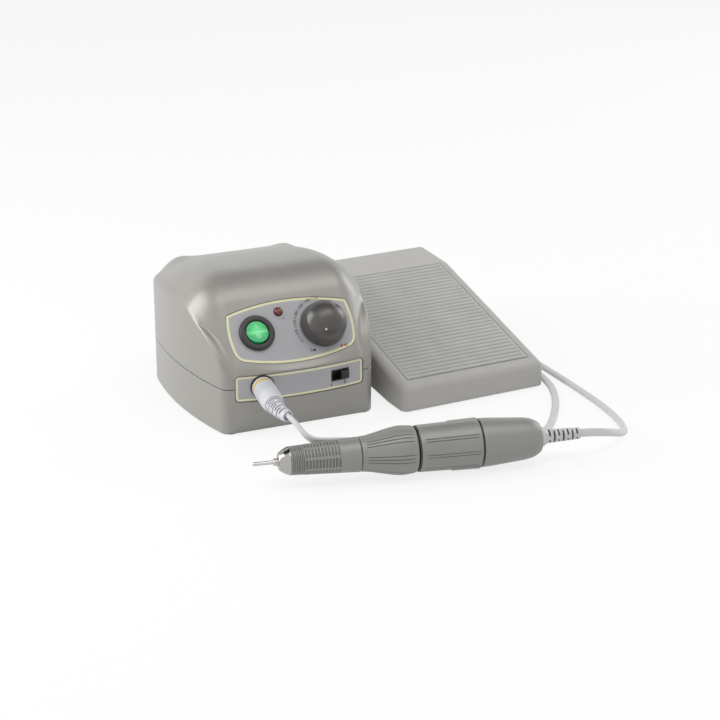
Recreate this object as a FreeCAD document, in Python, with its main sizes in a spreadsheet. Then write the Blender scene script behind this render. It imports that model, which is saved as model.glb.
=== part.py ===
import FreeCAD, Part
import math
import os
import Sketcher
from FreeCAD import Placement, Rotation, Vector

# Dental micromotor set: a control unit, a motor handpiece on its cord, and a foot pedal.
# Millimetres, +Z up. The origin is the middle of the footprint, on the desk they all stand on.
# Each assembly has a frame of its own: the control unit (x right, y back), its sloped panel, its
# motor socket and direction switch, the pedal (x right, y back) and the handpiece (x along its axis
# from the mandrel to the cord).

os.makedirs("parts", exist_ok=True)
doc = FreeCAD.newDocument("DentalMicromotor")

# Driving sizes

SIZES = {
    # Places of the three assemblies in the shared frame
    "unit_x": -54.5, "unit_y": -18.2,
    "pedal_x": 64.3, "pedal_y": -27.4, "pedal_yaw": 3.6,
    "hand_x": -117.98, "hand_y": -97.97, "hand_z": 15.5, "hand_yaw": -10.3,
    # Control unit: plan outline
    "front_radius": 195.6, "front_bulge": 6.5, "side_radius": 255.0, "side_half": 60.5,
    "side_middle": 72.3, "unit_depth": 126.0, "front_corner": 8.0, "rear_corner": 22.0,
    # Control unit: walls, seam and base
    "wall": 2.5, "seam_height": 30.0, "seam_gap": 0.4, "base_lift": 1.0, "base_round": 3.5,
    "rim_round": 2.5, "lip_wall": 1.2, "lip_rise": 2.0, "lip_root": 4.0, "fit_gap": 0.15,
    "chin_height": 20.0, "chin_run": 6.8,
    # Control unit: hood, side shoulders and rear horns
    "panel_lean": 38.0, "panel_y": -2.0, "panel_z": 43.0, "hood_start": 24.5,
    "hood_round": 36.0, "hood_back_round": 180.0, "brow_run": 4.5, "brow_lift": 2.0,
    "rim_top": 72.5, "rim_rise": 30.5, "rim_run": 17.5, "rim_fall": 5.0, "rim_fall_from": 60.0,
    "rim_fall_run": 50.0, "shoulder_tilt": 0.3, "hood_edge_blend": 12.0,
    "horn_rise": 4.5, "horn_x": 38.7, "horn_y": 119.5, "horn_wide": 9.8, "horn_long": 13.8,
    # Screws and feet of the unit
    "boss_radius": 4.0, "boss_x": 41.0, "boss_front": 17.0, "boss_rear": 104.0,
    "screw_radius": 1.5, "screw_head_radius": 2.8, "screw_head_tall": 2.0, "screw_long": 36.0,
    "screw_pocket": 3.3, "screw_pocket_tall": 4.5,
    "foot_radius": 5.5, "foot_tall": 2.2, "foot_x": 40.0,
    "foot_front": 34.0, "foot_rear": 88.0,
    # Sloped panel
    "label_thick": 0.6, "label_sink": 0.8, "label_gap": 0.25, "label_top": 41.0,
    "label_top_rise": 5.5, "label_top_half": 40.0, "label_base": -0.3, "label_base_rise": 5.3,
    "label_base_half": 36.5, "label_side": 41.6, "label_side_rise": 1.6, "label_side_run": 13.5,
    "label_side_s": 22.0, "label_low_corner": 8.0, "label_high_corner": 1.5,
    # Power switch
    "switch_x": -23.2, "switch_s": 21.6, "bezel_radius": 11.4, "bezel_tall": 2.6,
    "bezel_round": 1.2, "barrel_radius": 9.9, "barrel_long": 16.0, "well_radius": 7.6,
    "well_deep": 6.0, "rocker_radius": 7.25, "rocker_pivot": 1.0, "rocker_tilt": 9.0,
    "rocker_under": 2.2, "rocker_crown": 0.8, "rocker_pin": 0.8, "rocker_pin_reach": 8.2,
    "blade_wide": 6.3, "blade_thick": 0.8, "blade_long": 8.0, "blade_pitch": 5.5,
    # Speed knob and what it turns
    "knob_x": 20.7, "knob_s": 21.0, "knob_lift": 0.8, "knob_foot": 14.8, "knob_waist": 13.2,
    "knob_shoulder": 9.5, "knob_top": 17.4, "knob_well": 6.8, "knob_well_top": 3.4,
    "dimple_radius": 7.5, "dimple_reach": 16.1, "dimple_height": 15.8, "dimple_turn": 42.0,
    "dot_radius": 0.9, "dot_lean": 35.5, "dot_sink": 0.5, "dot_turn": 208.0,
    "shaft_radius": 3.0, "shaft_high": 13.0, "shaft_low": 10.0, "running_gap": 0.05,
    "bushing_radius": 3.6, "bushing_high": 2.4, "nut_across": 5.6, "nut_tall": 1.8,
    "pot_radius": 8.5, "pot_top": 2.7, "pot_tall": 9.0,
    # Indicator lamp
    "lamp_x": -5.9, "lamp_s": 33.5, "lamp_radius": 2.7, "lamp_rise": 2.6, "lamp_flange": 3.3,
    "lamp_flange_tall": 1.0, "lamp_low": 3.8,
    # Front panel
    "plate_half": 42.7, "plate_low": 21.8, "plate_high": 38.4, "plate_thick": 0.6,
    "plate_sink": 1.0, "plate_corner": 2.5, "plate_gap": 0.7,
    # Motor socket and its plug, along the socket's axis from the face of the casing
    "socket_turn": 7.64, "socket_z": 30.8, "socket_flange": 8.3, "socket_flange_thick": 1.0,
    "socket_barrel": 7.0, "socket_long": 13.0, "socket_bore": 6.3, "socket_bore_long": 9.0,
    "plug_start": 0.9, "plug_ferrule": 6.25, "plug_ferrule_long": 7.5, "plug_radius": 7.0,
    "plug_nose": 6.6, "band_start": 3.4, "band_end": 6.4, "band_sink": 0.7,
    "plug_rings_start": 8.5, "plug_ring_pitch": 2.4, "plug_ring_wide": 1.1,
    "plug_ring_deep": 0.5, "plug_taper_start": 20.0, "plug_end": 31.0, "plug_tail": 6.0,
    "relief_neck": 3.9, "relief_neck_long": 5.0, "relief_radius": 5.3, "relief_end_radius": 3.6,
    "relief_long": 20.0, "relief_bend": 20.0, "relief_slot_wide": 0.9,
    "relief_slot_pitch": 2.9, "relief_slot_deep": 0.8, "cord_radius": 2.5, "cord_seat": 5.5,
    # Direction switch
    "slide_turn": 7.73, "slide_z": 30.6, "slide_wide": 12.6, "slide_tall": 7.4,
    "slide_deep": 9.0, "slide_proud": 0.3, "track_gap": 0.3,
    "track_deep": 4.5, "slider_wide": 5.6, "slider_tall": 5.2, "slider_travel": 5.4,
    "slider_proud": 2.4, "slider_root": 4.0,
    # Electronics in the unit
    "board_wide": 70.0, "board_deep": 38.0, "board_thick": 1.6, "board_y": 27.0, "board_z": 11.0,
    "pillar_radius": 3.0, "pillar_x": 30.0, "pillar_y": 14.0, "pin_radius": 1.2, "pin_rise": 1.0,
    "core_wide": 57.0, "core_deep": 24.0, "core_tall": 46.0, "core_x": 4.0, "core_y": 76.0,
    "window_wide": 9.5, "window_tall": 28.0, "core_leg": 19.0, "winding_out": 9.0,
    "winding_gap": 0.3, "tab_long": 10.0, "tab_thick": 2.0,
    "capacitor_radius": 6.5, "capacitor_tall": 22.0, "capacitor_pitch": 17.0,
    "capacitor_x": 6.0, "capacitor_y": 32.0,
    "sink_x": -20.0, "sink_wide": 26.0, "sink_tall": 18.0, "sink_thick": 3.0, "sink_y": 38.0,
    "fin_long": 5.0, "fin_thick": 1.5, "chip_wide": 10.0, "chip_tall": 14.0, "chip_thick": 4.4,
    # Fittings in the rear wall
    "gland_x": 24.0, "fuse_x": 4.0, "jack_x": -20.0, "rear_z": 17.0,
    "gland_flange": 7.0, "gland_body": 5.5, "gland_bore": 3.4, "gland_lip": 2.0,
    "gland_long": 9.0, "jack_flange": 6.5, "jack_body": 5.0, "jack_bore": 3.2, "jack_lip": 1.8,
    "jack_long": 20.0, "fuse_flange": 7.0, "fuse_body": 6.0, "fuse_lip": 5.0, "fuse_long": 24.0,
    # Handpiece, along its axis
    "mandrel_start": 1.8, "mandrel_radius": 1.175, "mandrel_end": 44.0, "depth_mark": 13.0,
    "depth_mark_wide": 0.5, "depth_mark_deep": 0.2, "collet_radius": 2.35, "collet_start": 13.9,
    "collet_end": 41.0, "nose_start": 16.8, "nose_end": 23.5, "nose_small": 5.4,
    "nose_bore": 2.7, "nose_spigot": 6.25, "nose_spigot_long": 8.0,
    "grip_start_radius": 8.55, "grip_end_radius": 10.45, "grip_end": 65.0,
    "fine_start": 24.3, "fine_pitch": 1.06, "fine_count": 7.0,
    "broad_start": 31.9, "broad_pitch": 1.95, "broad_count": 11.0,
    "broad_wide": 1.0, "groove_deep": 0.35,
    "tube_radius": 7.4, "tube_bore": 6.3, "tube_end": 103.0,
    "sleeve_start": 65.35, "sleeve_mid": 77.9, "sleeve_mid_radius": 12.5, "sleeve_top": 90.5,
    "sleeve_top_radius": 14.7, "sleeve_end": 99.1, "sleeve_end_radius": 13.9,
    "ring_start": 99.45, "case_start": 100.5, "ring_radius": 14.0,
    "case_start_radius": 14.0, "case_end": 137.6, "case_end_radius": 14.75,
    "land_start": 119.6, "land_run": 1.6, "land_rise": 0.55, "land_wide": 12.0,
    "land_turn": 68.5, "case_bore": 12.9, "case_front_wall": 2.5,
    "cap_start": 138.8, "cap_start_radius": 14.75, "cap_mid": 151.6, "cap_mid_radius": 13.9,
    "cap_shoulder": 166.3, "cap_shoulder_radius": 12.75, "cap_corner": 174.0, "cap_corner_radius": 10.5,
    "cap_end": 176.5, "cap_end_radius": 8.6, "cap_bore": 11.4, "cap_wall": 2.2,
    "spindle_radius": 3.5, "spindle_start": 34.0, "spindle_end": 90.0,
    "bearing_long": 5.0, "front_bearing": 35.0, "second_bearing": 43.0, "tube_bearing": 96.5,
    "motor_shaft_radius": 2.0, "motor_shaft_start": 82.0, "motor_shaft_end": 149.0,
    "magnet_bore": 9.5, "magnet_start": 105.0, "magnet_end": 134.0, "armature_radius": 8.9,
    "armature_start": 106.5, "armature_end": 132.5, "commutator_radius": 4.5,
    "commutator_start": 134.5, "commutator_end": 142.0, "brush_wide": 3.2,
    "brush_start": 136.0, "brush_reach": 9.0, "end_plate_start": 143.5, "end_plate_long": 3.0,
    "rear_bearing_radius": 4.5, "hand_relief_flange": 6.9, "hand_relief_neck": 4.4,
    "hand_relief_root": 4.3, "hand_relief_tip": 3.5, "hand_relief_end": 201.8,
    "hand_relief_cone": 4.8, "hand_relief_first": 0.3, "hand_relief_slots": 7.0,
    "hand_slot_deep": 0.5,
    # Pedal
    "pedal_wide": 105.0, "pedal_long": 166.0, "pedal_front": 17.0, "pedal_lift": 1.0,
    "pedal_slope_end": 128.0, "pedal_peak": 49.2, "pedal_rear": 50.9, "pedal_wall": 2.4,
    "skirt_flat": 21.0, "skirt_rise": 14.0, "pedal_round": 4.5,
    "mat_side": 7.5, "mat_start": 8.5, "mat_end": 127.0, "mat_gap": 0.4, "mat_thick": 1.0,
    "mat_sink": 1.1, "rib_count": 32.0, "rib_tall": 0.8, "rib_share": 0.55,
    "base_gap": 1.3, "base_z": 2.0, "base_thick": 3.0, "base_front": 4.0, "base_rear": 161.0,
    "pedal_foot_radius": 6.0, "pedal_foot_x": 38.0, "pedal_foot_front": 28.0,
    "pedal_foot_rear": 146.0, "pedal_foot_sink": 1.0,
    "hinge_y": 12.0, "hinge_z": 8.5, "hinge_radius": 2.0, "ear_thick": 4.0, "ear_radius": 3.2,
    "treadle_ear_x": 41.0, "base_ear_x": 35.0,
    "spring_y": 118.0, "spring_radius": 6.0, "spring_wire": 0.8, "spring_turns": 6.0,
    "spring_top_gap": 0.3, "foot_switch_wide": 20.0, "foot_switch_deep": 12.0,
    "foot_switch_tall": 22.0, "foot_switch_x": 26.0, "foot_switch_y": 96.0,
    "plunger_radius": 2.4, "plunger_low": 17.0, "plunger_high": 37.5, "plunger_bore_low": 9.0,
    "pedal_gland_x": -24.0, "pedal_gland_z": 11.5, "pedal_gland_body": 4.5,
    "pedal_gland_flange": 5.4, "pedal_gland_bore": 2.6, "notch_wide": 16.0, "notch_top": 31.0,
    "upstand_wide": 18.0, "upstand_top": 19.0, "upstand_thick": 3.0,
}


class Dim(float):
    """A size, with the expression on the sheet that gives it."""

    def __new__(cls, value, text):
        dim = float.__new__(cls, value)
        dim.text = text
        return dim

    def __add__(self, other):
        return Dim(float(self) + float(other), f"({self.text} + {text_of(other)})")

    def __radd__(self, other):
        return Dim(float(other) + float(self), f"({text_of(other)} + {self.text})")

    def __sub__(self, other):
        return Dim(float(self) - float(other), f"({self.text} - {text_of(other)})")

    def __rsub__(self, other):
        return Dim(float(other) - float(self), f"({text_of(other)} - {self.text})")

    def __mul__(self, other):
        return Dim(float(self) * float(other), f"({self.text} * {text_of(other)})")

    __rmul__ = __mul__

    def __truediv__(self, other):
        return Dim(float(self) / float(other), f"({self.text} / {text_of(other)})")

    def __neg__(self):
        return Dim(-float(self), f"(-{self.text})")


def text_of(value):
    """The text of a size or a plain number in an expression."""
    if isinstance(value, Dim):
        return value.text
    return f"({float(value)!r})"


def sin_of(angle):
    """The sine of a size in degrees."""
    return Dim(math.sin(math.radians(float(angle))), f"sin({text_of(angle)})")


def cos_of(angle):
    """The cosine of a size in degrees."""
    return Dim(math.cos(math.radians(float(angle))), f"cos({text_of(angle)})")


def tan_of(angle):
    """The tangent of a size in degrees."""
    return Dim(math.tan(math.radians(float(angle))), f"tan({text_of(angle)})")


def fill_sheet():
    """Writes the sizes to the sheet and returns them by name."""
    sheet = doc.addObject("Spreadsheet::Sheet", "Sizes")
    sizes = {}
    for row, (name, value) in enumerate(SIZES.items(), 1):
        sheet.set(f"A{row}", name)
        sheet.set(f"B{row}", str(value))
        sheet.setAlias(f"B{row}", name)
        sizes[name] = Dim(value, f"Sizes.{name}")
    doc.recompute()
    return sizes


class Named:
    """The sizes as attributes."""

    def __init__(self, sizes):
        self.__dict__.update(sizes)


d = Named(fill_sheet())

# Tools for primitives, booleans and turned or padded bodies


def bind(obj, **sizes):
    """Sets properties and ties each to its expression."""
    for prop, size in sizes.items():
        setattr(obj, prop, float(size))
        if isinstance(size, Dim):
            obj.setExpression(prop, size.text)


def place(obj, x=0, y=0, z=0, axis=None, angle=0):
    """Places an object at sizes x, y, z, turned by an angle about an axis."""
    turn = Rotation(Vector(*(axis or (0, 0, 1))), float(angle))
    obj.Placement = Placement(Vector(float(x), float(y), float(z)), turn)
    for name, size in (("x", x), ("y", y), ("z", z)):
        if isinstance(size, Dim):
            obj.setExpression(f"Placement.Base.{name}", size.text)
    if isinstance(angle, Dim):
        obj.setExpression("Placement.Rotation.Angle", angle.text)
    return obj


def box(name, long, deep, tall, x=0, y=0, z=0, centred="xy"):
    """A box; centred names the directions in which it is centred on its place."""
    obj = doc.addObject("Part::Box", name)
    bind(obj, Length=long, Width=deep, Height=tall)
    if "x" in centred:
        x = x - long / 2
    if "y" in centred:
        y = y - deep / 2
    if "z" in centred:
        z = z - tall / 2
    return place(obj, x, y, z)


TURNS = {"z": None, "x": ((0, 1, 0), 90), "y": ((1, 0, 0), -90), "-y": ((1, 0, 0), 90)}


def rod(name, radius, long, x=0, y=0, z=0, along="z"):
    """A cylinder from a place, along an axis."""
    obj = doc.addObject("Part::Cylinder", name)
    bind(obj, Radius=radius, Height=long)
    axis, angle = TURNS[along] or ((0, 0, 1), 0)
    return place(obj, x, y, z, axis, angle)


def ball(name, radius, x=0, y=0, z=0):
    """A sphere about a place."""
    obj = doc.addObject("Part::Sphere", name)
    bind(obj, Radius=radius)
    return place(obj, x, y, z)


def fuse(name, *shapes):
    """One solid from several."""
    obj = doc.addObject("Part::MultiFuse", name)
    obj.Shapes = list(shapes)
    return obj


def common(name, *shapes):
    """What several solids share."""
    obj = doc.addObject("Part::MultiCommon", name)
    obj.Shapes = list(shapes)
    return obj


def cut(name, base, *tools):
    """A solid with others cut from it."""
    obj = doc.addObject("Part::Cut", name)
    obj.Base = base
    obj.Tool = tools[0] if len(tools) == 1 else fuse(name + "_tools", *tools)
    return obj


def round_edges(name, base, radius, chosen):
    """Rounds the edges of a solid that the function chosen accepts."""
    doc.recompute()
    obj = doc.addObject("Part::Fillet", name)
    obj.Base = base
    edges = [i for i, edge in enumerate(base.Shape.Edges, 1) if chosen(edge)]
    obj.Edges = [(i, float(radius), float(radius)) for i in edges]
    return obj


def plane_of(body, role):
    """An origin plane or axis of a body."""
    return [feature for feature in body.Origin.OriginFeatures if feature.Role == role][0]


def outline_sketch(body, role, points):
    """A closed outline of straight lines on an origin plane, with every corner tied to its sizes."""
    sketch = body.newObject("Sketcher::SketchObject", body.Name + "_outline")
    sketch.AttachmentSupport = [(plane_of(body, role), "")]
    sketch.MapMode = "FlatFace"
    count = len(points)
    for index, (a, b) in enumerate(points):
        c, e = points[(index + 1) % count]
        line = Part.LineSegment(Vector(float(a), float(b), 0), Vector(float(c), float(e), 0))
        sketch.addGeometry(line, False)
    for index in range(count):
        sketch.addConstraint(Sketcher.Constraint("Coincident", index, 2, (index + 1) % count, 1))
    for index, corner in enumerate(points):
        for kind, size, axis in (("DistanceX", corner[0], -2), ("DistanceY", corner[1], -1)):
            if abs(float(size)) < 1e-9:
                sketch.addConstraint(Sketcher.Constraint("PointOnObject", index, 1, axis))
                continue
            number = sketch.addConstraint(Sketcher.Constraint(kind, -1, 1, index, 1, float(size)))
            if isinstance(size, Dim):
                sketch.setExpression(f"Constraints[{number}]", size.text)
    return sketch


def turned(name, points, along="x"):
    """A body turned about its X or Z axis from (distance along, radius) corners."""
    body = doc.addObject("PartDesign::Body", name)
    role, axis = ("XY_Plane", "X_Axis") if along == "x" else ("XZ_Plane", "Z_Axis")
    corners = points if along == "x" else [(radius, height) for height, radius in points]
    sketch = outline_sketch(body, role, corners)
    turn = body.newObject("PartDesign::Revolution", name + "_turn")
    turn.Profile = sketch
    turn.ReferenceAxis = (plane_of(body, axis), [""])
    turn.Angle = 360
    body.Tip = turn
    return body


def slab(name, points, width, role="YZ_Plane"):
    """A body padded evenly to both sides of an origin plane."""
    body = doc.addObject("PartDesign::Body", name)
    sketch = outline_sketch(body, role, points)
    pad = body.newObject("PartDesign::Pad", name + "_pad")
    pad.Profile = sketch
    bind(pad, Length=width)
    pad.SideType = "Symmetric"
    body.Tip = pad
    return body


def solid_feature(name, shape):
    """A feature whose shape is worked out here from the sheet's sizes."""
    obj = doc.addObject("Part::Feature", name)
    obj.Shape = shape
    return obj


# Frames of the assemblies, and the nodes placed in them

PANEL_TURN = 90 - d.panel_lean
FRONT_MIDDLE = d.front_radius - d.front_bulge


def on_panel(x, along, above=0):
    """A frame on the sloped panel: x right, y up the slope, z out of it."""
    y = d.panel_y + along * cos_of(PANEL_TURN) - above * sin_of(PANEL_TURN)
    z = d.panel_z + along * sin_of(PANEL_TURN) + above * cos_of(PANEL_TURN)
    return (x, y, z, (1, 0, 0), PANEL_TURN)


def on_front(turn, z, side):
    """A frame on the curved front face: x out of the face, y right, z up."""
    x = d.front_radius * sin_of(turn) * side
    y = FRONT_MIDDLE - d.front_radius * cos_of(turn)
    return (x, y, z, (0, 0, 1), turn * side - 90)


def on_rear(x):
    """A frame on the rear wall: x out of the wall."""
    return (x, d.unit_depth, d.rear_z, (0, 0, 1), 90)


WORLD = (0, 0, 0, (0, 0, 1), 0)
UNIT = (0, 0, 0, None, 0)
PANEL = on_panel(0, 0)
SWITCH = on_panel(d.switch_x, d.switch_s)
KNOB = on_panel(d.knob_x, d.knob_s)
LAMP = on_panel(d.lamp_x, d.lamp_s)
SOCKET = on_front(d.socket_turn, d.socket_z, -1)
SLIDE = on_front(d.slide_turn, d.slide_z, 1)
PEDAL = (d.pedal_x, d.pedal_y, 0, (0, 0, 1), d.pedal_yaw)
HAND = (d.hand_x, d.hand_y, d.hand_z, (0, 0, 1), d.hand_yaw)
nodes = []


def node(name, frame, *shapes):
    """A named sub-part: its solids, placed in the frame of their assembly."""
    obj = doc.addObject("Part::Compound", name)
    obj.Label = name
    obj.Links = list(shapes)
    x, y, z, axis, angle = frame
    if frame not in (WORLD, PEDAL, HAND):
        x = x + d.unit_x
        y = y + d.unit_y
    place(obj, x, y, z, axis, angle)
    nodes.append(obj)
    return obj


# Control unit: outline, hood and shoulders

SEAM_LOW = d.seam_height - d.seam_gap / 2
SEAM_HIGH = d.seam_height + d.seam_gap / 2
FLOOR = d.base_lift + d.wall


def plan(name, inset, low, tall):
    """A block of the unit's plan outline, drawn in by an inset: bowed front and sides."""
    front = rod(name + "_front", d.front_radius - inset, tall, 0, FRONT_MIDDLE, low)
    radius = d.side_radius - inset
    centre = d.side_radius - d.side_half
    left = rod(name + "_left", radius, tall, centre, d.side_middle, low)
    right = rod(name + "_right", radius, tall, -centre, d.side_middle, low)
    back = box(name + "_back", 200, d.unit_depth - inset + 20, tall, 0, -20, low, "x")
    block = common(name + "_block", front, left, right, back)
    doc.recompute()
    rounds = []
    for index, edge in enumerate(block.Shape.Edges, 1):
        bounds = edge.BoundBox
        if bounds.ZLength < float(tall) * 0.9 or abs(bounds.Center.x) < 30:
            continue
        if bounds.Center.y < 30:
            rounds.append((index, float(d.front_corner - inset), float(d.front_corner - inset)))
        elif bounds.Center.y > 100:
            rounds.append((index, float(d.rear_corner - inset), float(d.rear_corner - inset)))
    obj = doc.addObject("Part::Fillet", name)
    obj.Base = block
    obj.Edges = rounds
    return obj


# How far the hood's shoulder stands in from the side, how steeply its side falls, and how wide
# it blends into the lower shoulder, each as (distance from the front, size)
HOOD_INSET = ((0, 8.0), (20, 10.5), (60, 16.8), (115, 20.5))
HOOD_SIDE = ((0, 2.2), (40, 1.2), (115, 0.61))
SHOULDER_BLEND = ((0, 2.0), (30, 4.0), (115, 9.5))


def between(y, table):
    """The size a table gives at a distance, in straight lines between its entries."""
    y = min(max(y, table[0][0]), table[-1][0])
    for (y0, size0), (y1, size1) in zip(table, table[1:]):
        if y <= y1:
            return size0 + (size1 - size0) * (y - y0) / (y1 - y0)
    return table[-1][1]


def lower_of(a, b, blend):
    """The lower of two heights, with a rounded turn from one to the other."""
    share = min(max(0.5 + 0.5 * (b - a) / blend, 0), 1)
    return b * (1 - share) + a * share - blend * share * (1 - share)


def higher_of(a, b, blend):
    """The higher of two heights, with a rounded turn from one to the other."""
    return -lower_of(-a, -b, blend)


def hood_line(y):
    """Side profile of the hood: brow, sloped panel, round crest and a slow fall to the rear."""
    climb = math.tan(math.radians(PANEL_TURN))
    brow = max(float(d.panel_y) - y, 0) / d.brow_run
    crest_y = d.hood_start + d.hood_round * math.sin(math.radians(PANEL_TURN))
    slope_top = d.panel_z + (d.hood_start - d.panel_y) * climb
    crest_z = slope_top - d.hood_round * math.cos(math.radians(PANEL_TURN))
    if y < d.hood_start:
        return float(d.panel_z + (y - d.panel_y) * climb + d.brow_lift * (brow * brow))
    if y < crest_y:
        return crest_z + math.sqrt(max(d.hood_round ** 2 - (y - crest_y) ** 2, 0))
    return crest_z + d.hood_round - (y - crest_y) ** 2 / (2 * d.hood_back_round)


def shoulder_line(y):
    """Side profile of the shoulders: a quick rise behind the front corner, then level."""
    fall = max(y - d.rim_fall_from, 0) / d.rim_fall_run
    return d.rim_top - d.rim_rise * math.exp(-max(y, -3) / d.rim_run) - d.rim_fall * fall * fall


def top_height(x, y):
    """Height of the upper casing: the hood between two shoulders, with a horn at each rear side."""
    side = math.sqrt(d.side_radius ** 2 - (y - d.side_middle) ** 2)
    edge = d.side_half - d.side_radius + side - abs(x)
    across = ((abs(x) - d.horn_x) / d.horn_wide) ** 2
    along = ((y - d.horn_y) / d.horn_long) ** 2
    hood = hood_line(y)
    fall = between(y, HOOD_SIDE) * (edge - between(y, HOOD_INSET))
    hood = lower_of(hood, hood + fall, float(d.hood_edge_blend))
    hood += d.horn_rise * math.exp(-across - along)
    shoulder = shoulder_line(y) - d.shoulder_tilt * edge
    return float(higher_of(hood, shoulder, between(y, SHOULDER_BLEND)))


GRID = 49
GRID_HALF = 64.0
GRID_FRONT = -10.0
GRID_REAR = 130.0


def hood_solid(name, thick):
    """All that lies below the casing's top, or below it less a wall thickness."""
    step_x = 2 * GRID_HALF / (GRID - 1)
    step_y = (GRID_REAR - GRID_FRONT) / (GRID - 1)
    heights = []
    for column in range(GRID):
        x = -GRID_HALF + step_x * column
        line = []
        for row in range(GRID):
            y = GRID_FRONT + step_y * row
            tilt_x = (top_height(x + 0.1, y) - top_height(x - 0.1, y)) / 0.2
            tilt_y = (top_height(x, y + 0.1) - top_height(x, y - 0.1)) / 0.2
            drop = thick * math.sqrt(1 + tilt_x * tilt_x + tilt_y * tilt_y)
            line.append(top_height(x, y) - drop)
        heights.append(line)
    surface = Part.BSplineSurface()
    surface.interpolate(heights, -GRID_HALF, step_x, GRID_FRONT, step_y)
    return solid_feature(name, surface.toShape().extrude(Vector(0, 0, -120)))


# Sloped panel: outline of four arcs

def arc_radius(half, rise):
    """Radius of an arc with half a chord and its rise."""
    return (half * half + rise * rise) / (rise * 2)


def panel_block(name, grow, low, tall):
    """A block of the sloped panel's outline, drawn out by grow."""
    top = arc_radius(d.label_top_half, d.label_top_rise)
    base = arc_radius(d.label_base_half, d.label_base_rise)
    side = arc_radius(d.label_side_run, d.label_side_rise)
    middle = d.label_side_s
    block = common(
        name + "_block",
        rod(name + "_crown", top + grow, tall, 0, d.label_top - top, low),
        rod(name + "_base", base + grow, tall, 0, d.label_base + base, low),
        rod(name + "_left", side + grow, tall, side - d.label_side, middle, low),
        rod(name + "_right", side + grow, tall, d.label_side - side, middle, low),
    )
    doc.recompute()
    rounds = []
    for index, edge in enumerate(block.Shape.Edges, 1):
        bounds = edge.BoundBox
        if bounds.ZLength < float(tall) * 0.9:
            continue
        if bounds.Center.y < 15:
            radius = float(d.label_low_corner + grow)
            rounds.append((index, radius, radius))
        elif bounds.Center.y > 30:
            radius = float(d.label_high_corner + grow)
            rounds.append((index, radius, radius))
    obj = doc.addObject("Part::Fillet", name)
    obj.Base = block
    obj.Edges = rounds
    return obj


def front_block(name, grow):
    """A rounded block through the front face, of the front panel's outline drawn out by grow."""
    tall = d.plate_high - d.plate_low + grow * 2
    wide = (d.plate_half + grow) * 2
    block = box(name + "_block", wide, 30, tall, 0, -20, d.plate_low - grow, "x")
    return round_edges(name, block, d.plate_corner + grow, lambda edge: edge.BoundBox.YLength > 20)


LABEL_FACE = d.label_thick - d.label_sink
PLATE_FACE = d.plate_thick - d.plate_sink
SLIDE_FACE = PLATE_FACE + d.slide_proud


def panel_holes(name, low, tall):
    """Holes through the sloped panel for the switch, the speed control and the lamp."""
    gap = d.running_gap
    switch = rod(name + "_switch", d.barrel_radius + gap, tall, d.switch_x, d.switch_s, low)
    knob = rod(name + "_knob", d.bushing_radius + gap, tall, d.knob_x, d.knob_s, low)
    lamp = rod(name + "_lamp", d.lamp_radius + gap, tall, d.lamp_x, d.lamp_s, low)
    return [switch, knob, lamp]


def gathered(name, frame, *shapes):
    """Solids held together and placed in a frame of the unit, to cut with."""
    obj = doc.addObject("Part::Compound", name)
    obj.Links = list(shapes)
    return place(obj, *frame)


def front_holes(name):
    """Holes through the front face for the motor socket and the direction switch."""
    gap = d.running_gap
    socket = rod(name + "_socket", d.socket_barrel + gap, 26, -20, 0, 0, "x")
    wide = d.slide_wide + gap * 2
    tall = d.slide_tall + gap * 2
    slide = box(name + "_slide", 26, wide, tall, -7, 0, 0, "xyz")
    return [gathered(name + "_round", SOCKET, socket), gathered(name + "_flat", SLIDE, slide)]


def at_corners(name, make):
    """One shape at each of the four screw bosses."""
    places = [(sx, y) for sx in (-1, 1) for y in (d.boss_front, d.boss_rear)]
    return [make(f"{name}_{i}", d.boss_x * sx, y) for i, (sx, y) in enumerate(places)]


def at_feet(name, make):
    """One shape at each of the four feet."""
    places = [(sx, y) for sx in (-1, 1) for y in (d.foot_front, d.foot_rear)]
    return [make(f"{name}_{i}", d.foot_x * sx, y) for i, (sx, y) in enumerate(places)]


# Upper casing: a shell under the hood surface, with posts for the screws

HOLLOW_LOW = SEAM_HIGH - 1
hood = hood_solid("hood_outside", 0.0)
hood_inside = hood_solid("hood_inside", float(d.wall))
upper_block = common("upper_block", plan("upper_plan", 0, SEAM_HIGH, 80), hood)


def on_rim(edge):
    """Whether an edge lies where the sides meet the top."""
    bounds = edge.BoundBox
    return bounds.ZMin > 35 or (bounds.ZLength > 3 and bounds.ZMax > 45 and bounds.ZMin > 31)


upper_outside = round_edges("upper_outside", upper_block, d.rim_round, on_rim)
upper_room = common("upper_room", plan("upper_room_plan", d.wall, HOLLOW_LOW, 80), hood_inside)
upper_posts = at_corners("upper_post", lambda n, x, y: rod(n, d.boss_radius, 90, x, y, 20))
upper_hollow = cut("upper_hollow", upper_room, *upper_posts)
upper_pilots = at_corners(
    "upper_pilot",
    lambda n, x, y: rod(n, d.screw_radius + d.running_gap, 16, x, y, HOLLOW_LOW),
)
panel_recess = panel_block("panel_recess", d.label_gap, -d.label_sink, 10)
panel_tools = gathered(
    "panel_tools", PANEL, fuse("panel_cut", panel_recess, *panel_holes("panel_hole", -12, 24))
)
plate_floor = d.front_radius - d.plate_sink
plate_recess = cut(
    "plate_recess",
    front_block("plate_recess_block", d.plate_gap),
    rod("plate_recess_floor", plate_floor, 60, 0, FRONT_MIDDLE, 0),
)
upper_shell = cut("upper_shell", upper_outside, upper_hollow)
upper_cut = cut(
    "upper_cut", upper_shell, panel_tools, plate_recess, *front_holes("upper_front"),
    *upper_pilots
)
node("unit_upper_casing", UNIT, upper_cut)

# Lower casing: a tray with a chin, a tongue inside the seam, screw bosses and pillars

CHIN_LEAN = d.chin_run / d.chin_height


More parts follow.
